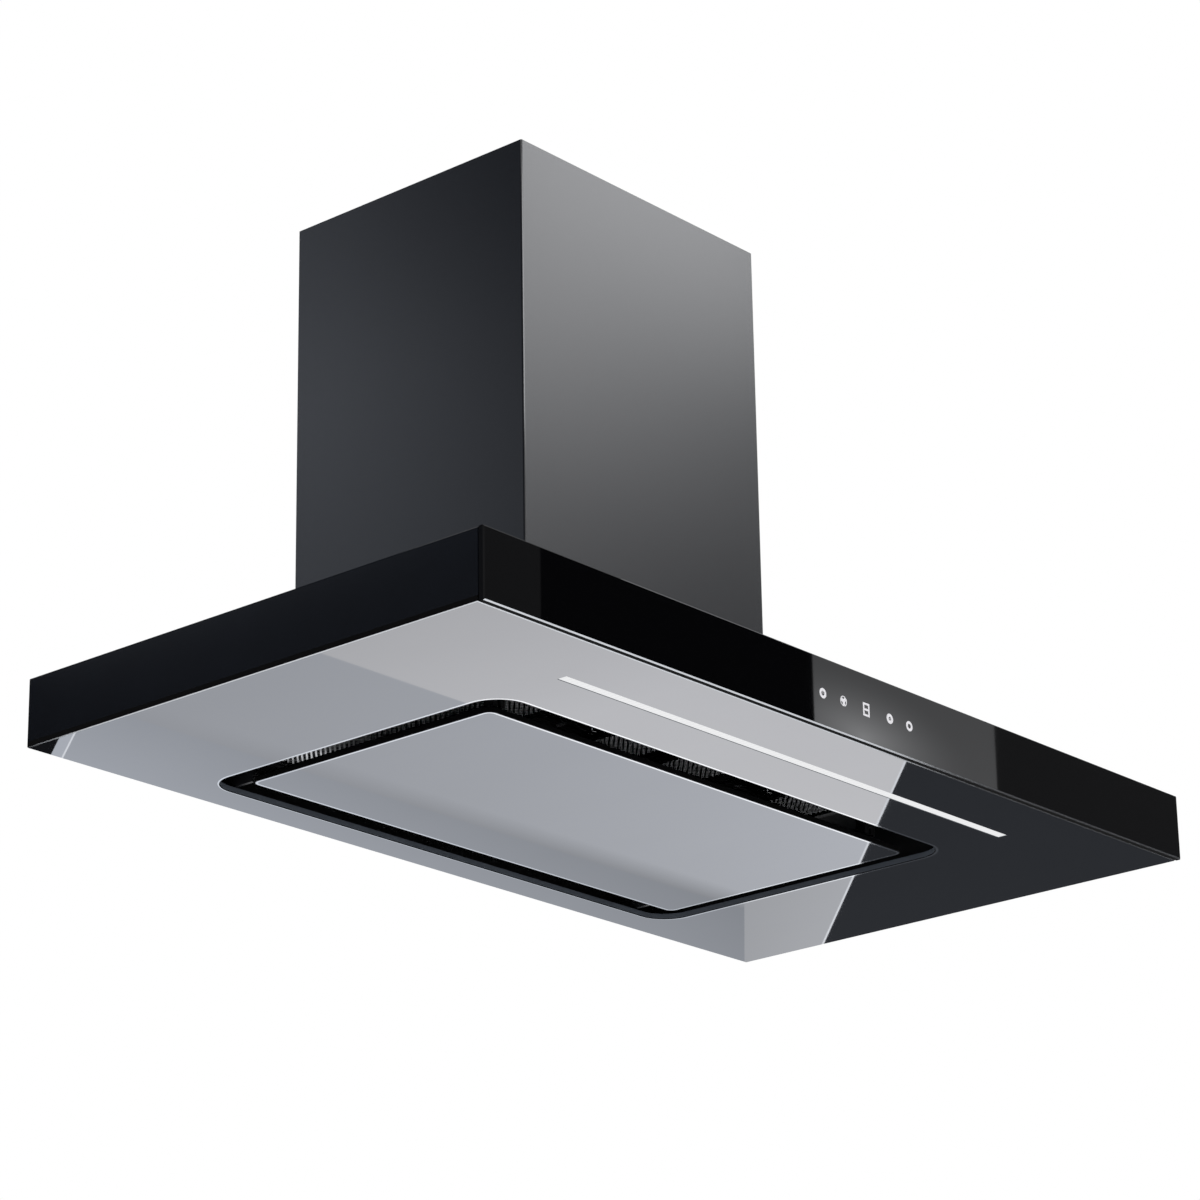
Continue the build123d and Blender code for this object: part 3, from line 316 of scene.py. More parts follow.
finishes = {
    "black_shell": surface("black_enamel", (0.0026, 0.0033, 0.0052), 0.10, grain=0.9 * MM,
                           depth=0.001 * MM),
    "black_glass": polished_glass("black_glass", (0.0012, 0.0012, 0.0015), 0.0),
    "mirror_glass": polished_glass("dark_mirror_glass", (0.216, 0.224, 0.242), 1.0),
    # painted shade: near black and matt with almost no gloss, so the panes' edges beside gaps and rims show
    # dark
    "painted_edge_shade": surface("edge_painted_shade", (0.0016, 0.0016, 0.0018), 0.75, ior=1.15, grain=0.5 * MM,
                         depth=0.01 * MM, cloud=0.2, cloud_size=20 * MM),
    "ground_edge": surface("ground_glass_edge", (0.080, 0.092, 0.110), 0.35, grain=0.5 * MM,
                           depth=0.004 * MM, cloud=0.1, cloud_size=30 * MM),
    # painted highlight: bright mirror metal for the strips along the glass rims
    "painted_edge_highlight": surface("painted_highlight_strip", (0.64, 0.66, 0.69), 0.03, metallic=1.0, grain=1.5 * MM,
                         depth=0.0002 * MM, cloud=0.04, cloud_size=40 * MM),
    "foam_tape": surface("foam_tape", (0.010, 0.010, 0.010), 0.90, grain=0.4 * MM, depth=0.10 * MM,
                         cloud=0.3, cloud_size=5 * MM),
    "lamp_diffuser": lit_diffuser(),
    "lamp_housing": surface("extruded_aluminium", (0.60, 0.61, 0.63), 0.34, metallic=1.0, grain=0.25 * MM,
                            depth=0.006 * MM, stretch=(0.02, 1, 1), uneven=0.3),
    "circuit_board": circuit_laminate(),
    "light_guide": surface("opal_light_guide", (0.70, 0.71, 0.72), 0.42, grain=0.7 * MM),
    "display": surface("display_module", (0.020, 0.020, 0.023), 0.18, grain=0.8 * MM,
                       depth=0.004 * MM),
    "black_plastic": surface("moulded_black_plastic", (0.012, 0.012, 0.013), 0.46, grain=0.35 * MM,
                             depth=0.018 * MM, cloud=0.2, uneven=0.25),
    "black_tray": surface("painted_tray", (0.005, 0.0052, 0.006), 0.50, ior=1.3, grain=0.8 * MM,
                          depth=0.006 * MM),
    "filter_frame": surface("filter_frame_black", (0.020, 0.021, 0.023), 0.32, metallic=0.6,
                            grain=0.25 * MM, depth=0.006 * MM, stretch=(0.05, 1, 1), uneven=0.3),
    "filter_mesh": expanded_aluminium(),
    "chrome": surface("chrome", (0.86, 0.87, 0.88), 0.07, metallic=1.0, grain=2 * MM,
                      depth=0.001 * MM, cloud=0.03),
    "spring_steel": surface("spring_steel", (0.50, 0.50, 0.51), 0.28, metallic=1.0, grain=0.3 * MM,
                            depth=0.006 * MM, cloud=0.1, cloud_size=6 * MM, uneven=0.3),
    "panel_steel": surface("black_panel_steel", (0.010, 0.0105, 0.012), 0.34, grain=0.7 * MM,
                           depth=0.008 * MM),
    "rubber_seal": surface("rubber_seal", (0.014, 0.014, 0.014), 0.72, grain=0.8 * MM,
                           depth=0.03 * MM, cloud=0.25),
    "galvanised": galvanised_steel(),
    "fan_wheel": surface("black_steel_wheel", (0.030, 0.031, 0.034), 0.36, metallic=0.4, grain=0.5 * MM,
                         depth=0.010 * MM, cloud=0.2, cloud_size=20 * MM, uneven=0.3),
    "motor_shell": surface("motor_shell", (0.34, 0.35, 0.36), 0.42, metallic=1.0, grain=0.5 * MM,
                           depth=0.012 * MM, cloud=0.15, cloud_size=15 * MM, uneven=0.3),
    "grey_plastic": surface("moulded_grey_plastic", (0.22, 0.225, 0.235), 0.48, grain=0.4 * MM,
                            depth=0.02 * MM),
    "flap_plastic": surface("flap_plastic", (0.10, 0.10, 0.105), 0.45, grain=0.4 * MM, depth=0.015 * MM),
    "capacitor": surface("capacitor_can", (0.62, 0.62, 0.60), 0.38, grain=0.6 * MM, depth=0.008 * MM),
    "driver_case": surface("driver_case", (0.70, 0.70, 0.69), 0.44, grain=0.4 * MM, depth=0.012 * MM),
    "terminal_plastic": surface("terminal_plastic", (0.66, 0.62, 0.50), 0.40, grain=0.5 * MM,
                                depth=0.012 * MM),
    "chimney_paint": surface("satin_black_paint", (0.0062, 0.0070, 0.0092), 0.13, ior=1.6, grain=0.8 * MM,
                             depth=0.001 * MM, cloud=0.05, cloud_size=200 * MM, uneven=0.12),
}


# ================================================================ CAD nodes
WELD_REACH = 0.002 * MM
SHARP_ANGLE = 40.0              # degrees; edges that turn less stay as they are
# Rounded edges in millimetres; thin sheets keep less than a third of their thickness.
EDGE_ROUNDING = {
    "canopy_shell": 0.45,
    "chimney_lower": 0.35,
    "chimney_upper": 0.25,
    "lamp_diffuser": 0.6,
    "lamp_housing": 0.25,
    "panel_tray": 0.25,
    "suction_tray": 0.25,
    "filter_frame_left": 0.3,
    "filter_frame_right": 0.3,
    "filter_handles": 0.3,
    "electronics_case": 0.6,
    "electronics_cover": 0.5,
    "outlet_adaptor": 0.4,
    "duct_collar": 0.3,
    "blower_box": 0.25,
    "wall_bracket": 0.4,
    "panel_catches": 0.4,
    "lamp_driver": 0.8,
    "terminal_block": 0.4,
    "motor": 0.4,
}
# A face whose normal's downward part is under UPRIGHT is an edge wall, and over LEVEL the lower face.
UPRIGHT = 0.2
LEVEL = 0.95
HIGHLIGHT_CHAMFER, PAINTED, GROUND = 1, 2, 3      # material indices of a pane, after its own glass
# Where each pane's faces take painted shade, near black and matt: the least and the greatest downward part
# of their normal.
PAINTED_FACES = {
    "front_glass": (LEVEL, 1.01),
    "underside_glass": (-UPRIGHT, UPRIGHT),
    "panel_glass": (-UPRIGHT, UPRIGHT),
}


def round_edges(obj, radius):
    """Joins the mesh's split edges and gives its sharp ones a small rounding."""
    weld = obj.modifiers.new("join", "WELD")
    weld.merge_threshold = WELD_REACH
    rounding = obj.modifiers.new("edges", "BEVEL")
    rounding.width = radius
    rounding.segments = 2
    rounding.limit_method = "ANGLE"
    rounding.angle_limit = math.radians(SHARP_ANGLE)
    rounding.harden_normals = True
    rounding.use_clamp_overlap = True


def in_cut_out(name, place):
    """Whether a place on a pane's mesh is well inside its outline, so it belongs to a cut-out."""
    low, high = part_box(name)
    across = min(place.x - low.x, high.x - place.x)
    back = min(place.y - low.y, high.y - place.y)
    return name == "underside_glass" and min(across, back) > PANE_MARGIN


def finish_pane(obj, polished, painted, ground):
    """Gives a pane a painted highlight on the outer lower chamfers, painted shade on the chamfers around
    the opening and on the panel, on edge walls and on the front glass's foot, and grey walls in cut-outs.
    """
    for material in (polished, painted, ground):
        obj.data.materials.append(material)
    least, greatest = PAINTED_FACES[obj.name]
    for polygon in obj.data.polygons:
        down = -polygon.normal.z
        inner = in_cut_out(obj.name, obj.matrix_world @ polygon.center)
        chamfer = UPRIGHT < down < LEVEL
        if abs(down) < UPRIGHT and inner:
            polygon.material_index = GROUND
        # painted shade: chamfers inside the opening and on the panel, and the listed faces, go near black
        # and matt
        elif chamfer and (inner or obj.name == "panel_glass"):
            polygon.material_index = PAINTED
        elif least < down < greatest:
            polygon.material_index = PAINTED
        # painted highlight: the remaining lower chamfers take the bright mirror finish
        elif chamfer:
            polygon.material_index = HIGHLIGHT_CHAMFER


def finish_cad_nodes():
    """Gives every CAD node its finish, its small edge roundings and, on glass, its painted edge highlights
    and painted edge shade.
    """
    # painted highlight: the bright mirror finish for the glass's lower chamfers
    polished = painted_chamfer_highlight()
    for name, obj in nodes.items():
        obj.data.materials.clear()
        obj.data.materials.append(finishes[slot_of[name]])
        if name in EDGE_ROUNDING:
            round_edges(obj, EDGE_ROUNDING[name] * MM)
        if name in PAINTED_FACES:
            finish_pane(obj, polished, finishes["painted_edge_shade"], finishes["ground_edge"])


# ================================================================ mesh helpers
def new_piece(name, mesh_data, body, material, stands_for=()):
    """Links a finished mesh as a piece on a body and material."""
    mesh = bpy.data.meshes.new(name)
    mesh_data.to_mesh(mesh)
    mesh_data.free()
    mesh.materials.append(material)
    obj = bpy.data.objects.new(name, mesh)
    bpy.context.scene.collection.objects.link(obj)
    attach(obj, body)
    if stands_for:
        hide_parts(*stands_for)
    return obj


def add_strand(mesh, start, end, tilt):
    """A flat strand from start to end, leaning over by tilt."""
    along = (end - start).normalized()
    side = along.cross(Vector((0, 0, 1))).normalized()
    lean = Matrix.Rotation(tilt, 3, along)
    wide = lean @ side * (STRAND_WIDTH / 2)
    thick = lean @ side.cross(along) * (STRAND_THICKNESS / 2)
    rings = []
    for place in (start, end):
        offsets = (wide + thick, thick - wide, -wide - thick, wide - thick)
        rings.append([mesh.verts.new(place + offset) for offset in offsets])
    for corner in range(4):
        following = (corner + 1) % 4
        mesh.faces.new((rings[0][corner], rings[0][following], rings[1][following], rings[1][corner]))
    mesh.faces.new(reversed(rings[0]))
    mesh.faces.new(rings[1])


def tube(mesh, points, radius, sides):
    """A round wire along the points."""
    rings = []
    for index, place in enumerate(points):
        ahead = points[min(index + 1, len(points) - 1)]
        behind = points[max(index - 1, 0)]
        along = (ahead - behind).normalized()
        first = along.cross(Vector((0, 1, 0))).normalized()
        second = along.cross(first)
        ring = []
        for side in range(sides):
            turn = math.tau * side / sides
            ring.append(mesh.verts.new(place + (first * math.cos(turn) + second * math.sin(turn)) * radius))
        rings.append(ring)
    for near, far in zip(rings, rings[1:]):
        for side in range(sides):
            following = (side + 1) % sides
            mesh.faces.new((near[side], near[following], far[following], far[side]))
    mesh.faces.new(reversed(rings[0]))
    mesh.faces.new(rings[-1])


# ================================================================ filter meshes
def handle_gap(mesh_low, mesh_high):
    """The front part of one filter that its handle plate covers: its (left, right, rear)."""
    handles_low, handles_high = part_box("filter_handles")
    centre = (mesh_low.x + mesh_high.x) / 2
    half = handles_high.x - abs(centre)
    return centre - half - MESH_CLEARANCE, centre + half + MESH_CLEARANCE, handles_high.y + MESH_CLEARANCE


def expanded_sheets(side):
    """Stretched sheets, one above the other, in place of the plain slab of one filter."""
    node = "filter_mesh_" + side
    low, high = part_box(node)
    gap_left, gap_right, gap_rear = handle_gap(low, high)
    step_x = MESH_LONG_PITCH / 2
    step_y = MESH_SHORT_PITCH / 2
    columns = int((high.x - low.x) / step_x)
    rows = int((high.y - low.y) / step_y)
    lift = STRAND_DROP / 2 + STRAND_THICKNESS
    mesh = bmesh.new()
    for layer in range(MESH_LAYERS):
        height = low.z + lift + layer * MESH_LAYER_STEP
        for column in range(columns):
            for row in range(rows + 1):
                if (column + row) % 2:
                    continue
                start = Vector((low.x + column * step_x, low.y + row * step_y, height))
                for rise, tilt, drop in ((-1, FALLING_TILT, 0.0), (1, RISING_TILT, STRAND_DROP)):
                    if not 0 <= row + rise <= rows:
                        continue
                    end = start + Vector((step_x, rise * step_y, 0))
                    front = min(start.y, end.y)
                    if front < gap_rear and start.x < gap_right and end.x > gap_left:
                        continue
                    half_drop = Vector((0, 0, drop / 2))
                    add_strand(mesh, start + half_drop, end - half_drop, math.radians(tilt))
    new_piece(f"expanded_mesh_{side}", mesh, "hood", finishes["filter_mesh"], (node,))


# ================================================================ latch springs
def coil_spring(side):
    """A compression spring between the latch and the filter frame."""
    node = "latch_spring_" + side
    low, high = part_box(node)
    centre = (low + high) / 2
    coil = (high.x - low.x) / 2 - SPRING_WIRE
    length = high.y - low.y - 2 * SPRING_WIRE
    points = []
    count = int(SPRING_TURNS * SPRING_STEPS)
    for step in range(count + 1):
        turn = math.tau * step / SPRING_STEPS
        reach = low.y + SPRING_WIRE + length * step / count
        points.append(Vector((centre.x + coil * math.cos(turn), reach, centre.z + coil * math.sin(turn))))
    mesh = bmesh.new()
    tube(mesh, points, SPRING_WIRE, SPRING_SIDES)
    steel = finishes["spring_steel"]
    piece = new_piece(f"coil_spring_{side}", mesh, "hood", steel, (node,))
    for polygon in piece.data.polygons:
        polygon.use_smooth = True
    return piece


# ================================================================ painted edge highlights
def lower_rim(node, margin):
    """The (x, y) places of a pane's lower face that lie further in than margin."""
    low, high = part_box(node)
    obj = nodes[node]
    places = set()
    for vertex in obj.data.vertices:
        place = obj.matrix_world @ vertex.co
        inside = min(place.x - low.x, high.x - place.x, place.y - low.y, high.y - place.y) > margin
        if inside and place.z < low.z + PAINTED_HIGHLIGHT_PROUD:
            places.add((round(place.x, PLACE_DIGITS), round(place.y, PLACE_DIGITS)))
    return places


def painted_edge_highlight(name, node, body, places, outward):
    """A narrow painted highlight, a bright mirror strip, beside a closed rim; outward is 1 for a line
    around it and -1 for one inside.
    """
    middle = Vector((sum(x for x, y in places), sum(y for x, y in places))) / len(places)
    rim = sorted((Vector(place) for place in places), key=lambda place: math.atan2(*(place - middle)))
    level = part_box(node)[0].z - PAINTED_HIGHLIGHT_PROUD
    mesh = bmesh.new()
    pairs = []
    for before, place, after in zip(rim[-1:] + rim[:-1], rim, rim[1:] + rim[:1]):
        along = (after - before).normalized()
        away = Vector((-along.y, along.x))
        if away.dot(place - middle) < 0:
            away = -away
        width = PAINTED_HIGHLIGHT_WIDTH
        if outward > 0 and away.y > 0:
            width *= 1 - (1 - PAINTED_HIGHLIGHT_REAR) * away.y
        far = place + away * (outward * width)
        pairs.append([mesh.verts.new((spot.x, spot.y, level)) for spot in (place, far)])
    for near, far in zip(pairs, pairs[1:] + pairs[:1]):
        mesh.faces.new((near[0], near[1], far[1], far[0]))
    bmesh.ops.recalc_face_normals(mesh, faces=mesh.faces)
    if mesh.faces[:][0].normal.z > 0:
        bmesh.ops.reverse_faces(mesh, faces=mesh.faces)
    new_piece(name, mesh, body, finishes["painted_edge_highlight"])


def painted_edge_highlights():
    """Painted highlights: bright mirror strips around the opening in the underside and around the panel."""
    lamp_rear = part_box("lamp_diffuser")[1].y + PANE_MARGIN
    opening = {place for place in lower_rim("underside_glass", PANE_MARGIN) if place[1] > lamp_rear}
    painted_edge_highlight("opening_edge_line", "underside_glass", "hood", opening, 1)
    rim = lower_rim("panel_glass", CHAMFER_MARGIN)
    painted_edge_highlight("panel_edge_line", "panel_glass", "centre_panel", rim, -1)


# ================================================================ touch symbols
def flat_point(mesh, centre, across, up):
    """A vertex on the front glass, from a symbol's own centre."""
    glass_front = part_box("front_glass")[0].y
    return mesh.verts.new((centre[0] + across, glass_front - ICON_PROUD, centre[1] + up))


def flat_bar(mesh, centre, left, right, bottom, top):
    """An upright rectangle, its sides measured from the symbol's centre."""
    corners = ((left, bottom), (right, bottom), (right, top), (left, top))
    mesh.faces.new([flat_point(mesh, centre, across, up) for across, up in corners])


def flat_ring(mesh, centre, outer, inner, start=0.0, end=360.0):
    """A ring, or an arc of one; angles are in degrees from straight up, clockwise."""
    count = max(2, round(ICON_DETAIL * (end - start) / 360))
    pairs = []
    for step in range(count + 1):
        turn = math.radians(start + (end - start) * step / count)
        across, up = math.sin(turn), math.cos(turn)
        pair = [flat_point(mesh, centre, across * radius, up * radius) for radius in (inner, outer)]
        pairs.append(pair)
    for near, far in zip(pairs, pairs[1:]):
        mesh.faces.new((near[0], near[1], far[1], far[0]))


def power_symbol(mesh, centre):
    flat_ring(mesh, centre, ICON_RADIUS, ICON_RADIUS * 0.44)
    flat_bar(mesh, centre, -0.28 * MM, 0.28 * MM, -0.6 * MM, 1.8 * MM)


def fan_symbol(mesh, centre):
    flat_ring(mesh, centre, ICON_RADIUS, ICON_RADIUS * 0.82)
    flat_ring(mesh, centre, ICON_RADIUS * 0.46, 0.0)
    for blade in range(3):
        turn = blade * 120 + 15
        flat_ring(mesh, centre, ICON_RADIUS * 0.78, ICON_RADIUS * 0.46, turn, turn + 72)


def less_symbol(mesh, centre):
    flat_ring(mesh, centre, ICON_RADIUS, ICON_RADIUS * 0.36)
    flat_bar(mesh, centre, -0.7 * MM, 0.7 * MM, -0.25 * MM, 0.25 * MM)


def lamp_symbol(mesh, centre):
    flat_ring(mesh, centre, ICON_RADIUS, ICON_RADIUS * 0.46)


def digit_symbol(mesh, centre):
    """The figure eight of a seven-segment display."""
    half_width = DIGIT_WIDTH / 2
    half_height = DIGIT_HEIGHT / 2
    for side in (-1, 1):
        edge = side * half_width
        inner = side * (half_width - DIGIT_STROKE)
        flat_bar(mesh, centre, min(edge, inner), max(edge, inner), -half_height, half_height)
    inside = half_width - DIGIT_STROKE
    for level in (-half_height, -DIGIT_STROKE / 2, half_height - DIGIT_STROKE):
        flat_bar(mesh, centre, -inside, inside, level, level + DIGIT_STROKE)


def touch_symbols():
    """Five symbols in a row on the front glass, in front of the light guide."""
    guide_low, guide_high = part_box("touch_light_guide")
    height = (guide_low.z + guide_high.z) / 2
    row = (
        ("touch_symbol_power", -56.0, power_symbol),
        ("touch_symbol_fan", -29.5, fan_symbol),
        ("touch_digit", 0.0, digit_symbol),
        ("touch_symbol_less", 31.0, less_symbol),
        ("touch_symbol_lamp", 57.0, lamp_symbol),
    )
    ink = white_print()
    for name, across, draw in row:
        mesh = bmesh.new()
        draw(mesh, (across * MM, height))
        bmesh.ops.remove_doubles(mesh, verts=mesh.verts, dist=ICON_PROUD / 2)
        new_piece(name, mesh, "hood", ink)


# ================================================================ studio
def camera_ray_share(tree):
    """1 for what the camera, a reflection or glass sees, and 0 for light on the object."""
    path = add(tree, "ShaderNodeLightPath")
    seen = path.outputs["Is Camera Ray"]
    for kind in ("Is Glossy Ray", "Is Transmission Ray"):
        both = add(tree, "ShaderNodeMath", operation="MAXIMUM")
        tree.links.new(seen, both.inputs[0])
        tree.links.new(path.outputs[kind], both.inputs[1])
        seen = both.outputs[0]
    return seen


def white_world():
    """Even light on the object, and plain white for the camera and in reflections."""
    world = bpy.context.scene.world or bpy.data.worlds.new("studio")
    bpy.context.scene.world = world
    world.use_nodes = True
    tree = world.node_tree
    tree.nodes.clear()
    light = add(tree, "ShaderNodeBackground", {"Color": (0.97, 0.98, 1.0, 1), "Strength": AMBIENT})
    white = add(tree, "ShaderNodeBackground", {"Color": (1, 1, 1, 1), "Strength": 1.0})
    choose = add(tree, "ShaderNodeMixShader")
    output = add(tree, "ShaderNodeOutputWorld")
    tree.links.new(camera_ray_share(tree), choose.inputs["Fac"])
    tree.links.new(light.outputs[0], choose.inputs[1])
    tree.links.new(white.outputs[0], choose.inputs[2])
    tree.links.new(choose.outputs[0], output.inputs["Surface"])


def stage_plane(name, corners, material):
    """A flat stage object through the corners, with its own 0 to 1 coordinates."""
    mesh = bpy.data.meshes.new(name)
    mesh.from_pydata([tuple(corner) for corner in corners], [], [tuple(range(len(corners)))])
    layer = mesh.uv_layers.new(name="UVMap")
    for loop, place in zip(layer.data, ((0, 0), (1, 0), (1, 1), (0, 1))):
        loop.uv = place
    mesh.materials.append(material)
    obj = bpy.data.objects.new(name, mesh)
    bpy.context.scene.collection.objects.link(obj)
    return obj


def studio_floor():
    """A pale floor that keeps the hood's shadow."""
    material, tree, shader = new_material("studio_floor")
    shader.inputs["Base Color"].default_value = (0.93, 0.93, 0.93, 1)
    shader.inputs["Specular IOR Level"].default_value = 0.0
    tree.links.new(spread(tree, noise(tree, 40 * MM), 0.8, 0.95), shader.inputs["Roughness"])
    half = FLOOR_SIZE / 2
    corners = [(x, y, FLOOR_LEVEL) for x, y in block(-half, half, -half, half)]
    stage_plane("studio_floor", corners, material)


def soft_light(name, place, size, power):
    """A square soft light that looks at the origin and shows in no reflection."""
    data = bpy.data.lights.new(name, "AREA")
    data.shape = "SQUARE"
    data.size = size
    data.energy = power
    lamp = bpy.data.objects.new(name, data)
    lamp.location = place
    lamp.rotation_mode = "QUATERNION"
    lamp.rotation_quaternion = (-Vector(place)).to_track_quat("-Z", "Y")
    lamp.visible_glossy = False
    bpy.context.scene.collection.objects.link(lamp)


def bounced(point, normal, card_axis, card_at):
    """Where a look from the camera, bounced at point off a flat face, meets the card's plane."""
    look = point - Vector(CAMERA_PLACE)
    away = look - 2 * look.dot(normal) * normal
    return point + away * ((card_at - point[card_axis]) / away[card_axis])


def card_material(name, levels, tint, spot):
    """A glowing card: levels are its strength at the lower left, lower right, upper left and upper right.

    spot is (across, up, width, height, extra strength) of a brighter patch, or None."""
    material, tree, shader = new_material(name)
    tree.nodes.remove(shader)
    place = add(tree, "ShaderNodeTexCoord")
    split = add(tree, "ShaderNodeSeparateXYZ")
    tree.links.new(place.outputs["UV"], split.inputs["Vector"])
    sides = []
    for left, right in (levels[:2], levels[2:]):
        side = add(tree, "ShaderNodeMapRange", {"To Min": left, "To Max": right})
        tree.links.new(split.outputs["X"], side.inputs["Value"])
        sides.append(side.outputs["Result"])
    blend = add(tree, "ShaderNodeMix", data_type="FLOAT")
    tree.links.new(split.outputs["Y"], blend.inputs["Factor"])
    tree.links.new(sides[0], blend.inputs["A"])
    tree.links.new(sides[1], blend.inputs["B"])
    strength = blend.outputs["Result"]
    if spot:
        across, up, width, height, extra = spot
        centred = add(tree, "ShaderNodeMapping", {
            "Location": (-across / width, -up / height, 0), "Scale": (1 / width, 1 / height, 1),
        })
        tree.links.new(place.outputs["UV"], centred.inputs["Vector"])
        patch = add(tree, "ShaderNodeTexGradient", gradient_type="QUADRATIC_SPHERE")
        tree.links.new(centred.outputs["Vector"], patch.inputs["Vector"])
        brighter = add(tree, "ShaderNodeMath", {1: extra}, operation="MULTIPLY_ADD")
        tree.links.new(patch.outputs["Fac"], brighter.inputs[0])
        tree.links.new(strength, brighter.inputs[2])
        strength = brighter.outputs[0]
    glow = add(tree, "ShaderNodeEmission", {"Color": tint})
    tree.links.new(strength, glow.inputs["Strength"])
    tree.links.new(glow.outputs[0], tree.nodes["Material Output"].inputs["Surface"])
    return material


def hung_card(name, corners, levels, tint=PLAIN_TINT, spot=None):
    """A card or flag of the studio, seen only in reflections."""
    plane = stage_plane(name, corners, card_material(name, levels, tint, spot))
    plane.visible_camera = False
    plane.visible_diffuse = False
    plane.visible_transmission = False
    plane.visible_volume_scatter = False
    plane.visible_shadow = False


def studio_card(name, outline, normal, card, levels, tint=PLAIN_TINT, spot=None):
    """A card that one flat face of the hood reflects; outline is where it shows on that face.

    card is (axis, place) of the card's own plane."""
    corners = [bounced(Vector(point), normal, *card) for point in outline]
    hung_card(name, corners, levels, tint, spot)


def on_front(face, left, right, bottom, top):
    """The corners of a patch on a face that looks to -Y."""
    return ((left, face, bottom), (right, face, bottom), (right, face, top), (left, face, top))


def on_side(face, front, rear, bottom, top):
    """The corners of a patch on a face that looks to -X."""
    return ((face, front, bottom), (face, rear, bottom), (face, rear, top), (face, front, top))


def on_slant(edge, normal, left, right, bottom, top):
    """The corners of a patch on a slanting face through edge; left to right runs level."""
    level = Vector((-normal.y, normal.x, 0)).normalized() if normal.x else Vector((1, 0, 0))
    climb = normal.cross(level)
    return tuple(edge + level * across + climb * up for across, up in (
        (left, bottom), (right, bottom), (right, top), (left, top),
    ))


def below(face, *places):
    """The corners of a patch on the underside."""
    return tuple((across, back, face) for across, back in places)


def block(left, right, front, rear):
    """The corners of a level rectangle, seen from above."""
    return ((left, front), (right, front), (right, rear), (left, rear))


def slanting_band(face, centre, turn, near, far):
    """The corners of a long band on the underside, beside a line through centre at turn degrees."""
    along = Vector((math.cos(math.radians(turn)), math.sin(math.radians(turn)), 0))
    across = Vector((along.y, -along.x, 0))
    middle = Vector((*centre, face))
    return tuple(middle + along * reach + across * offset for reach, offset in (
        (-BAND_REACH, near), (BAND_REACH, near), (BAND_REACH, far), (-BAND_REACH, far),
    ))


def evenly(level):
    """A card's four corner levels, all alike."""
    return (level,) * 4


# Where the cards hang: those of the chimney behind those of the canopy, and plain ones behind both.
GLASS_FRONT_PLANE = (Y, -3.5)
CHIMNEY_FRONT_PLANE = (Y, -3.7)
EDGE_LIGHT_PLANE = (Y, -3.75)
CORNER_PLANE = (Y, -5.5)
CANOPY_SIDE_PLANE = (X, -3.5)
CHIMNEY_SIDE_PLANE = (X, -3.7)
BEYOND_PLANE = (X, -3.9)
CHAMFER_PLANE = (Z, -1.5)
TOP_LINE_PLANE = (Z, 3.5)
LOWEST_CARD = -1.54             # the underside's cards hang in a stack, each new one nearer to it
CARD_STEP = 0.005
DARK_LEVELS = evenly(0.02)


def front_cards():
    """What the front glass and the front of the chimney cover reflect."""
    facing = Vector((0, -1, 0))
    glass_low, glass_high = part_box("front_glass")
    bottom = glass_low.z - 0.03
    top = glass_high.z + 0.004
    left_flag, soft_left, soft_right = -0.389, -0.068, 0.176
    beyond = 0.62
    patches = (
        ("flag_far_left", -beyond, left_flag, evenly(0.09), None),
        ("flag_left", left_flag, soft_left, evenly(0.004), None),
        ("soft_box_front", soft_left, soft_right, (0.86, 0.86, 0.74, 0.72),
         (0.26, 0.36, 0.62, 0.62, 1.9)),
        ("flag_right", soft_right, beyond, evenly(0.09), None),
    )
    for name, left, right, levels, spot in patches:
        outline = on_front(glass_low.y, left, right, bottom, top)
        studio_card(name, outline, facing, GLASS_FRONT_PLANE, levels, spot=spot)
    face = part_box("chimney_lower")[0].y
    for row, (lower, upper) in enumerate(zip(CHIMNEY_FRONT_ROWS, CHIMNEY_FRONT_ROWS[1:])):
        outline = on_front(face, -0.25, 0.25, lower[0], upper[0])
        levels = (*lower[1:], *upper[1:])
        studio_card(f"soft_box_high_{row}", outline, facing, CHIMNEY_FRONT_PLANE, levels)
    outline = on_front(face, -2.2, -0.45, CHIMNEY_FRONT_ROWS[0][0], CHIMNEY_FRONT_ROWS[-1][0])
    studio_card("edge_light", outline, facing, EDGE_LIGHT_PLANE, evenly(6.0))


def corner_cards():
    """What the front glass's lower chamfer and the upright corners reflect."""
    glass_low, glass_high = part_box("front_glass")
    downward = Vector((0, -1, -1)).normalized()
    foot = Vector((0, glass_low.y, glass_low.z))
    outline = on_slant(foot, downward, 0.063, 0.62, -0.1, 0.1)
    studio_card("flag_chamfer", outline, downward, CHAMFER_PLANE, evenly(0.06))
    cornerwise = Vector((-1, -1, 0)).normalized()
    corner = Vector((glass_low.x, glass_low.y, 0))
    outline = on_slant(corner, cornerwise, -0.6, 0.3, -0.7, 0.3)
    studio_card("flag_behind", outline, cornerwise, CORNER_PLANE, evenly(0.22))
    upward = Vector((0, -1, 1)).normalized()
    edge = Vector((0, glass_low.y, glass_high.z))
    outline = on_slant(edge, upward, -0.7, 0.7, -0.3, 0.3)
    studio_card("flag_top_line", outline, upward, TOP_LINE_PLANE, (0.80, 0.05, 0.80, 0.05))


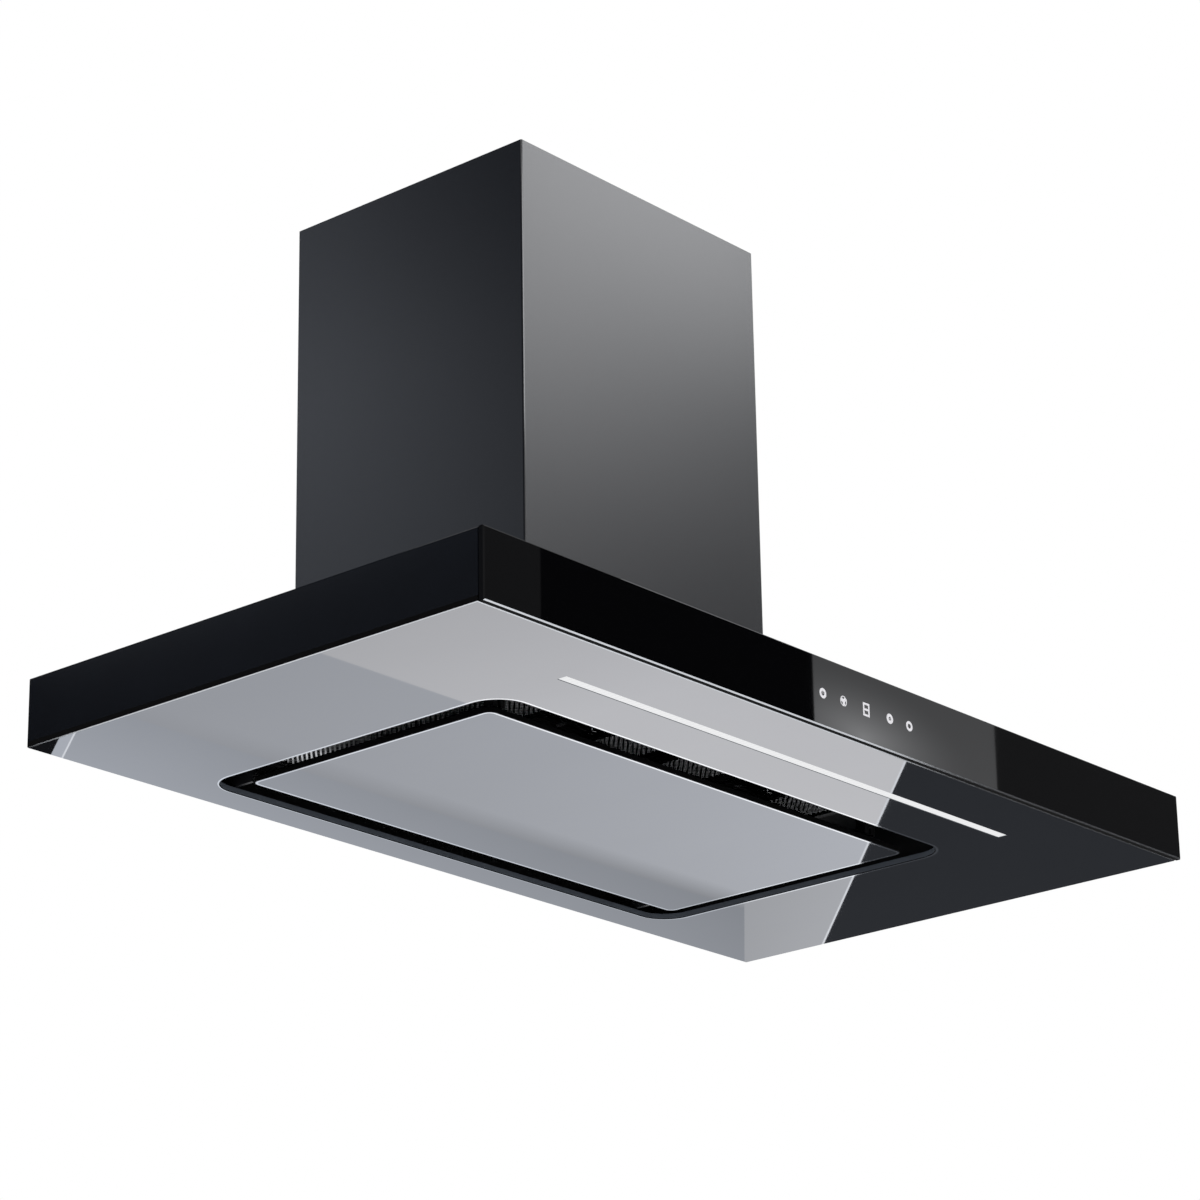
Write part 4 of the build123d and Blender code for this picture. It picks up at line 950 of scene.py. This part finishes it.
def side_cards():
    """What the left side of the canopy and of the chimney cover reflect."""
    facing = Vector((-1, 0, 0))
    shell_low, shell_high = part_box("canopy_shell")
    outline = on_side(shell_low.x, -1.1, 0.7, shell_low.z - 0.30, shell_high.z + 0.02)
    levels = (0.115, 0.022, 0.10, 0.012)
    studio_card("flag_side", outline, facing, CANOPY_SIDE_PLANE, levels, SHADE_TINT)
    cover_low, cover_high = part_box("chimney_lower")
    front, rear = cover_low.y, cover_high.y
    middle = (front + rear) / 2
    for row, (lower, upper) in enumerate(zip(CHIMNEY_SIDE_ROWS, CHIMNEY_SIDE_ROWS[1:])):
        for column, (near, far) in enumerate(((front - 0.1, middle), (middle, rear + 0.1))):
            outline = on_side(cover_low.x, near, far, lower[0], upper[0])
            levels = (*lower[column + 1:column + 3], *upper[column + 1:column + 3])
            name = f"flag_high_{row}_{column}"
            studio_card(name, outline, facing, CHIMNEY_SIDE_PLANE, levels, SHADE_TINT)
    outline = on_side(cover_low.x, front - 0.7, rear + 0.7, cover_low.z - 0.1, cover_high.z + 1.0)
    studio_card("flag_beyond", outline, facing, BEYOND_PLANE, DARK_LEVELS, COOL_TINT)
    hung_card("flag_overhead", on_front(4.8, -7.0, 5.0, 2.0, 10.0), DARK_LEVELS, COOL_TINT)
    hung_card("flag_far_side", on_side(-4.5, -4.0, 2.0, -2.0, 5.0), DARK_LEVELS, COOL_TINT)
    downward = Vector((-1, 0, -1)).normalized()
    foot = Vector((shell_low.x, 0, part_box("underside_glass")[0].z))
    outline = on_slant(foot, downward, -0.4, 0.042, -0.4, 0.4)
    studio_card("flag_rear_foot", outline, downward, CHAMFER_PLANE, DARK_LEVELS, COOL_TINT)


def low_cards():
    """What the underside reflects: the pale floor in a few tones, and a dark flag at the right."""
    facing = Vector((0, 0, -1))
    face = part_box("underside_glass")[0].z
    left, middle, right = -0.46, -0.20, 0.30
    front, seam, blend, rear = -0.56, -0.325, -0.150, -0.115
    zones = (
        ("floor_rear", block(-0.6, 0.6, -0.12, 0.2), (0.97, 0.56, 1.39, 0.79), COOL_TINT),
        ("floor_middle", block(left, right, seam, blend), (1.0, 1.24, 0.95, 1.10), PANEL_TINT),
        ("floor_blend", block(left, right, blend, rear), (0.95, 1.10, 0.92, 0.67), PANEL_TINT),
        ("floor_front", block(left, middle, front, seam), (1.29, 1.47, 1.22, 1.44), NEUTRAL_TINT),
        ("floor_front_right", block(middle, 0.5, front, seam), (1.46, 1.38, 1.43, 1.39), NEUTRAL_TINT),
        ("floor_right", ((0.285, -0.325), (0.62, -0.325), (0.62, 0.14), (0.285, -0.132)),
         (1.15, 1.10, 0.92, 0.90), PLAIN_TINT),
    )
    seam_place, corner_place = (0.257, -0.2865), (-0.4389, -0.0208)
    bands = (
        ("floor_edge", seam_place, 45, -0.0018, 0.001, 1.8, PLAIN_TINT),
        ("flag_low", seam_place, 45, 0.0, 0.5, 0.070, SHADE_TINT),
        ("floor_corner", corner_place, 57, 0.0, 0.0105, 1.22, COOL_TINT),
        ("floor_corner_line", corner_place, 57, 0.0092, 0.0106, 2.0, PLAIN_TINT),
        ("flag_corner", corner_place, 57, -0.2, 0.0, 0.02, SHADE_TINT),
    )
    cards = [(name, below(face, *places), levels, tint) for name, places, levels, tint in zones]
    for name, *band, level, tint in bands:
        cards.append((name, slanting_band(face, *band), evenly(level), tint))
    for step, (name, outline, levels, tint) in enumerate(cards):
        studio_card(name, outline, facing, (Z, LOWEST_CARD + CARD_STEP * step), levels, tint)


def studio_camera():
    """The camera, low in front of the hood's left end and looking up at it."""
    data = bpy.data.cameras.new("camera")
    data.lens = CAMERA_LENS
    data.sensor_width = 36.0
    data.clip_end = 100.0
    camera = bpy.data.objects.new("camera", data)
    camera.location = CAMERA_PLACE
    camera.rotation_euler = Euler([math.radians(turn) for turn in CAMERA_TURN], "XYZ")
    bpy.context.scene.collection.objects.link(camera)
    bpy.context.scene.camera = camera


# ================================================================ all together
finish_cad_nodes()
for side in ("left", "right"):
    expanded_sheets(side)
    spring = coil_spring(side)
    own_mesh(spring)
painted_edge_highlights()
touch_symbols()
studio_camera()
white_world()
studio_floor()
soft_light("key_light", KEY_PLACE, KEY_SIZE, KEY_POWER)
soft_light("fill_light", FILL_PLACE, FILL_SIZE, FILL_POWER)
front_cards()
corner_cards()
side_cards()
low_cards()
bpy.context.scene.view_settings.view_transform = "Standard"

bpy.context.view_layer.update()
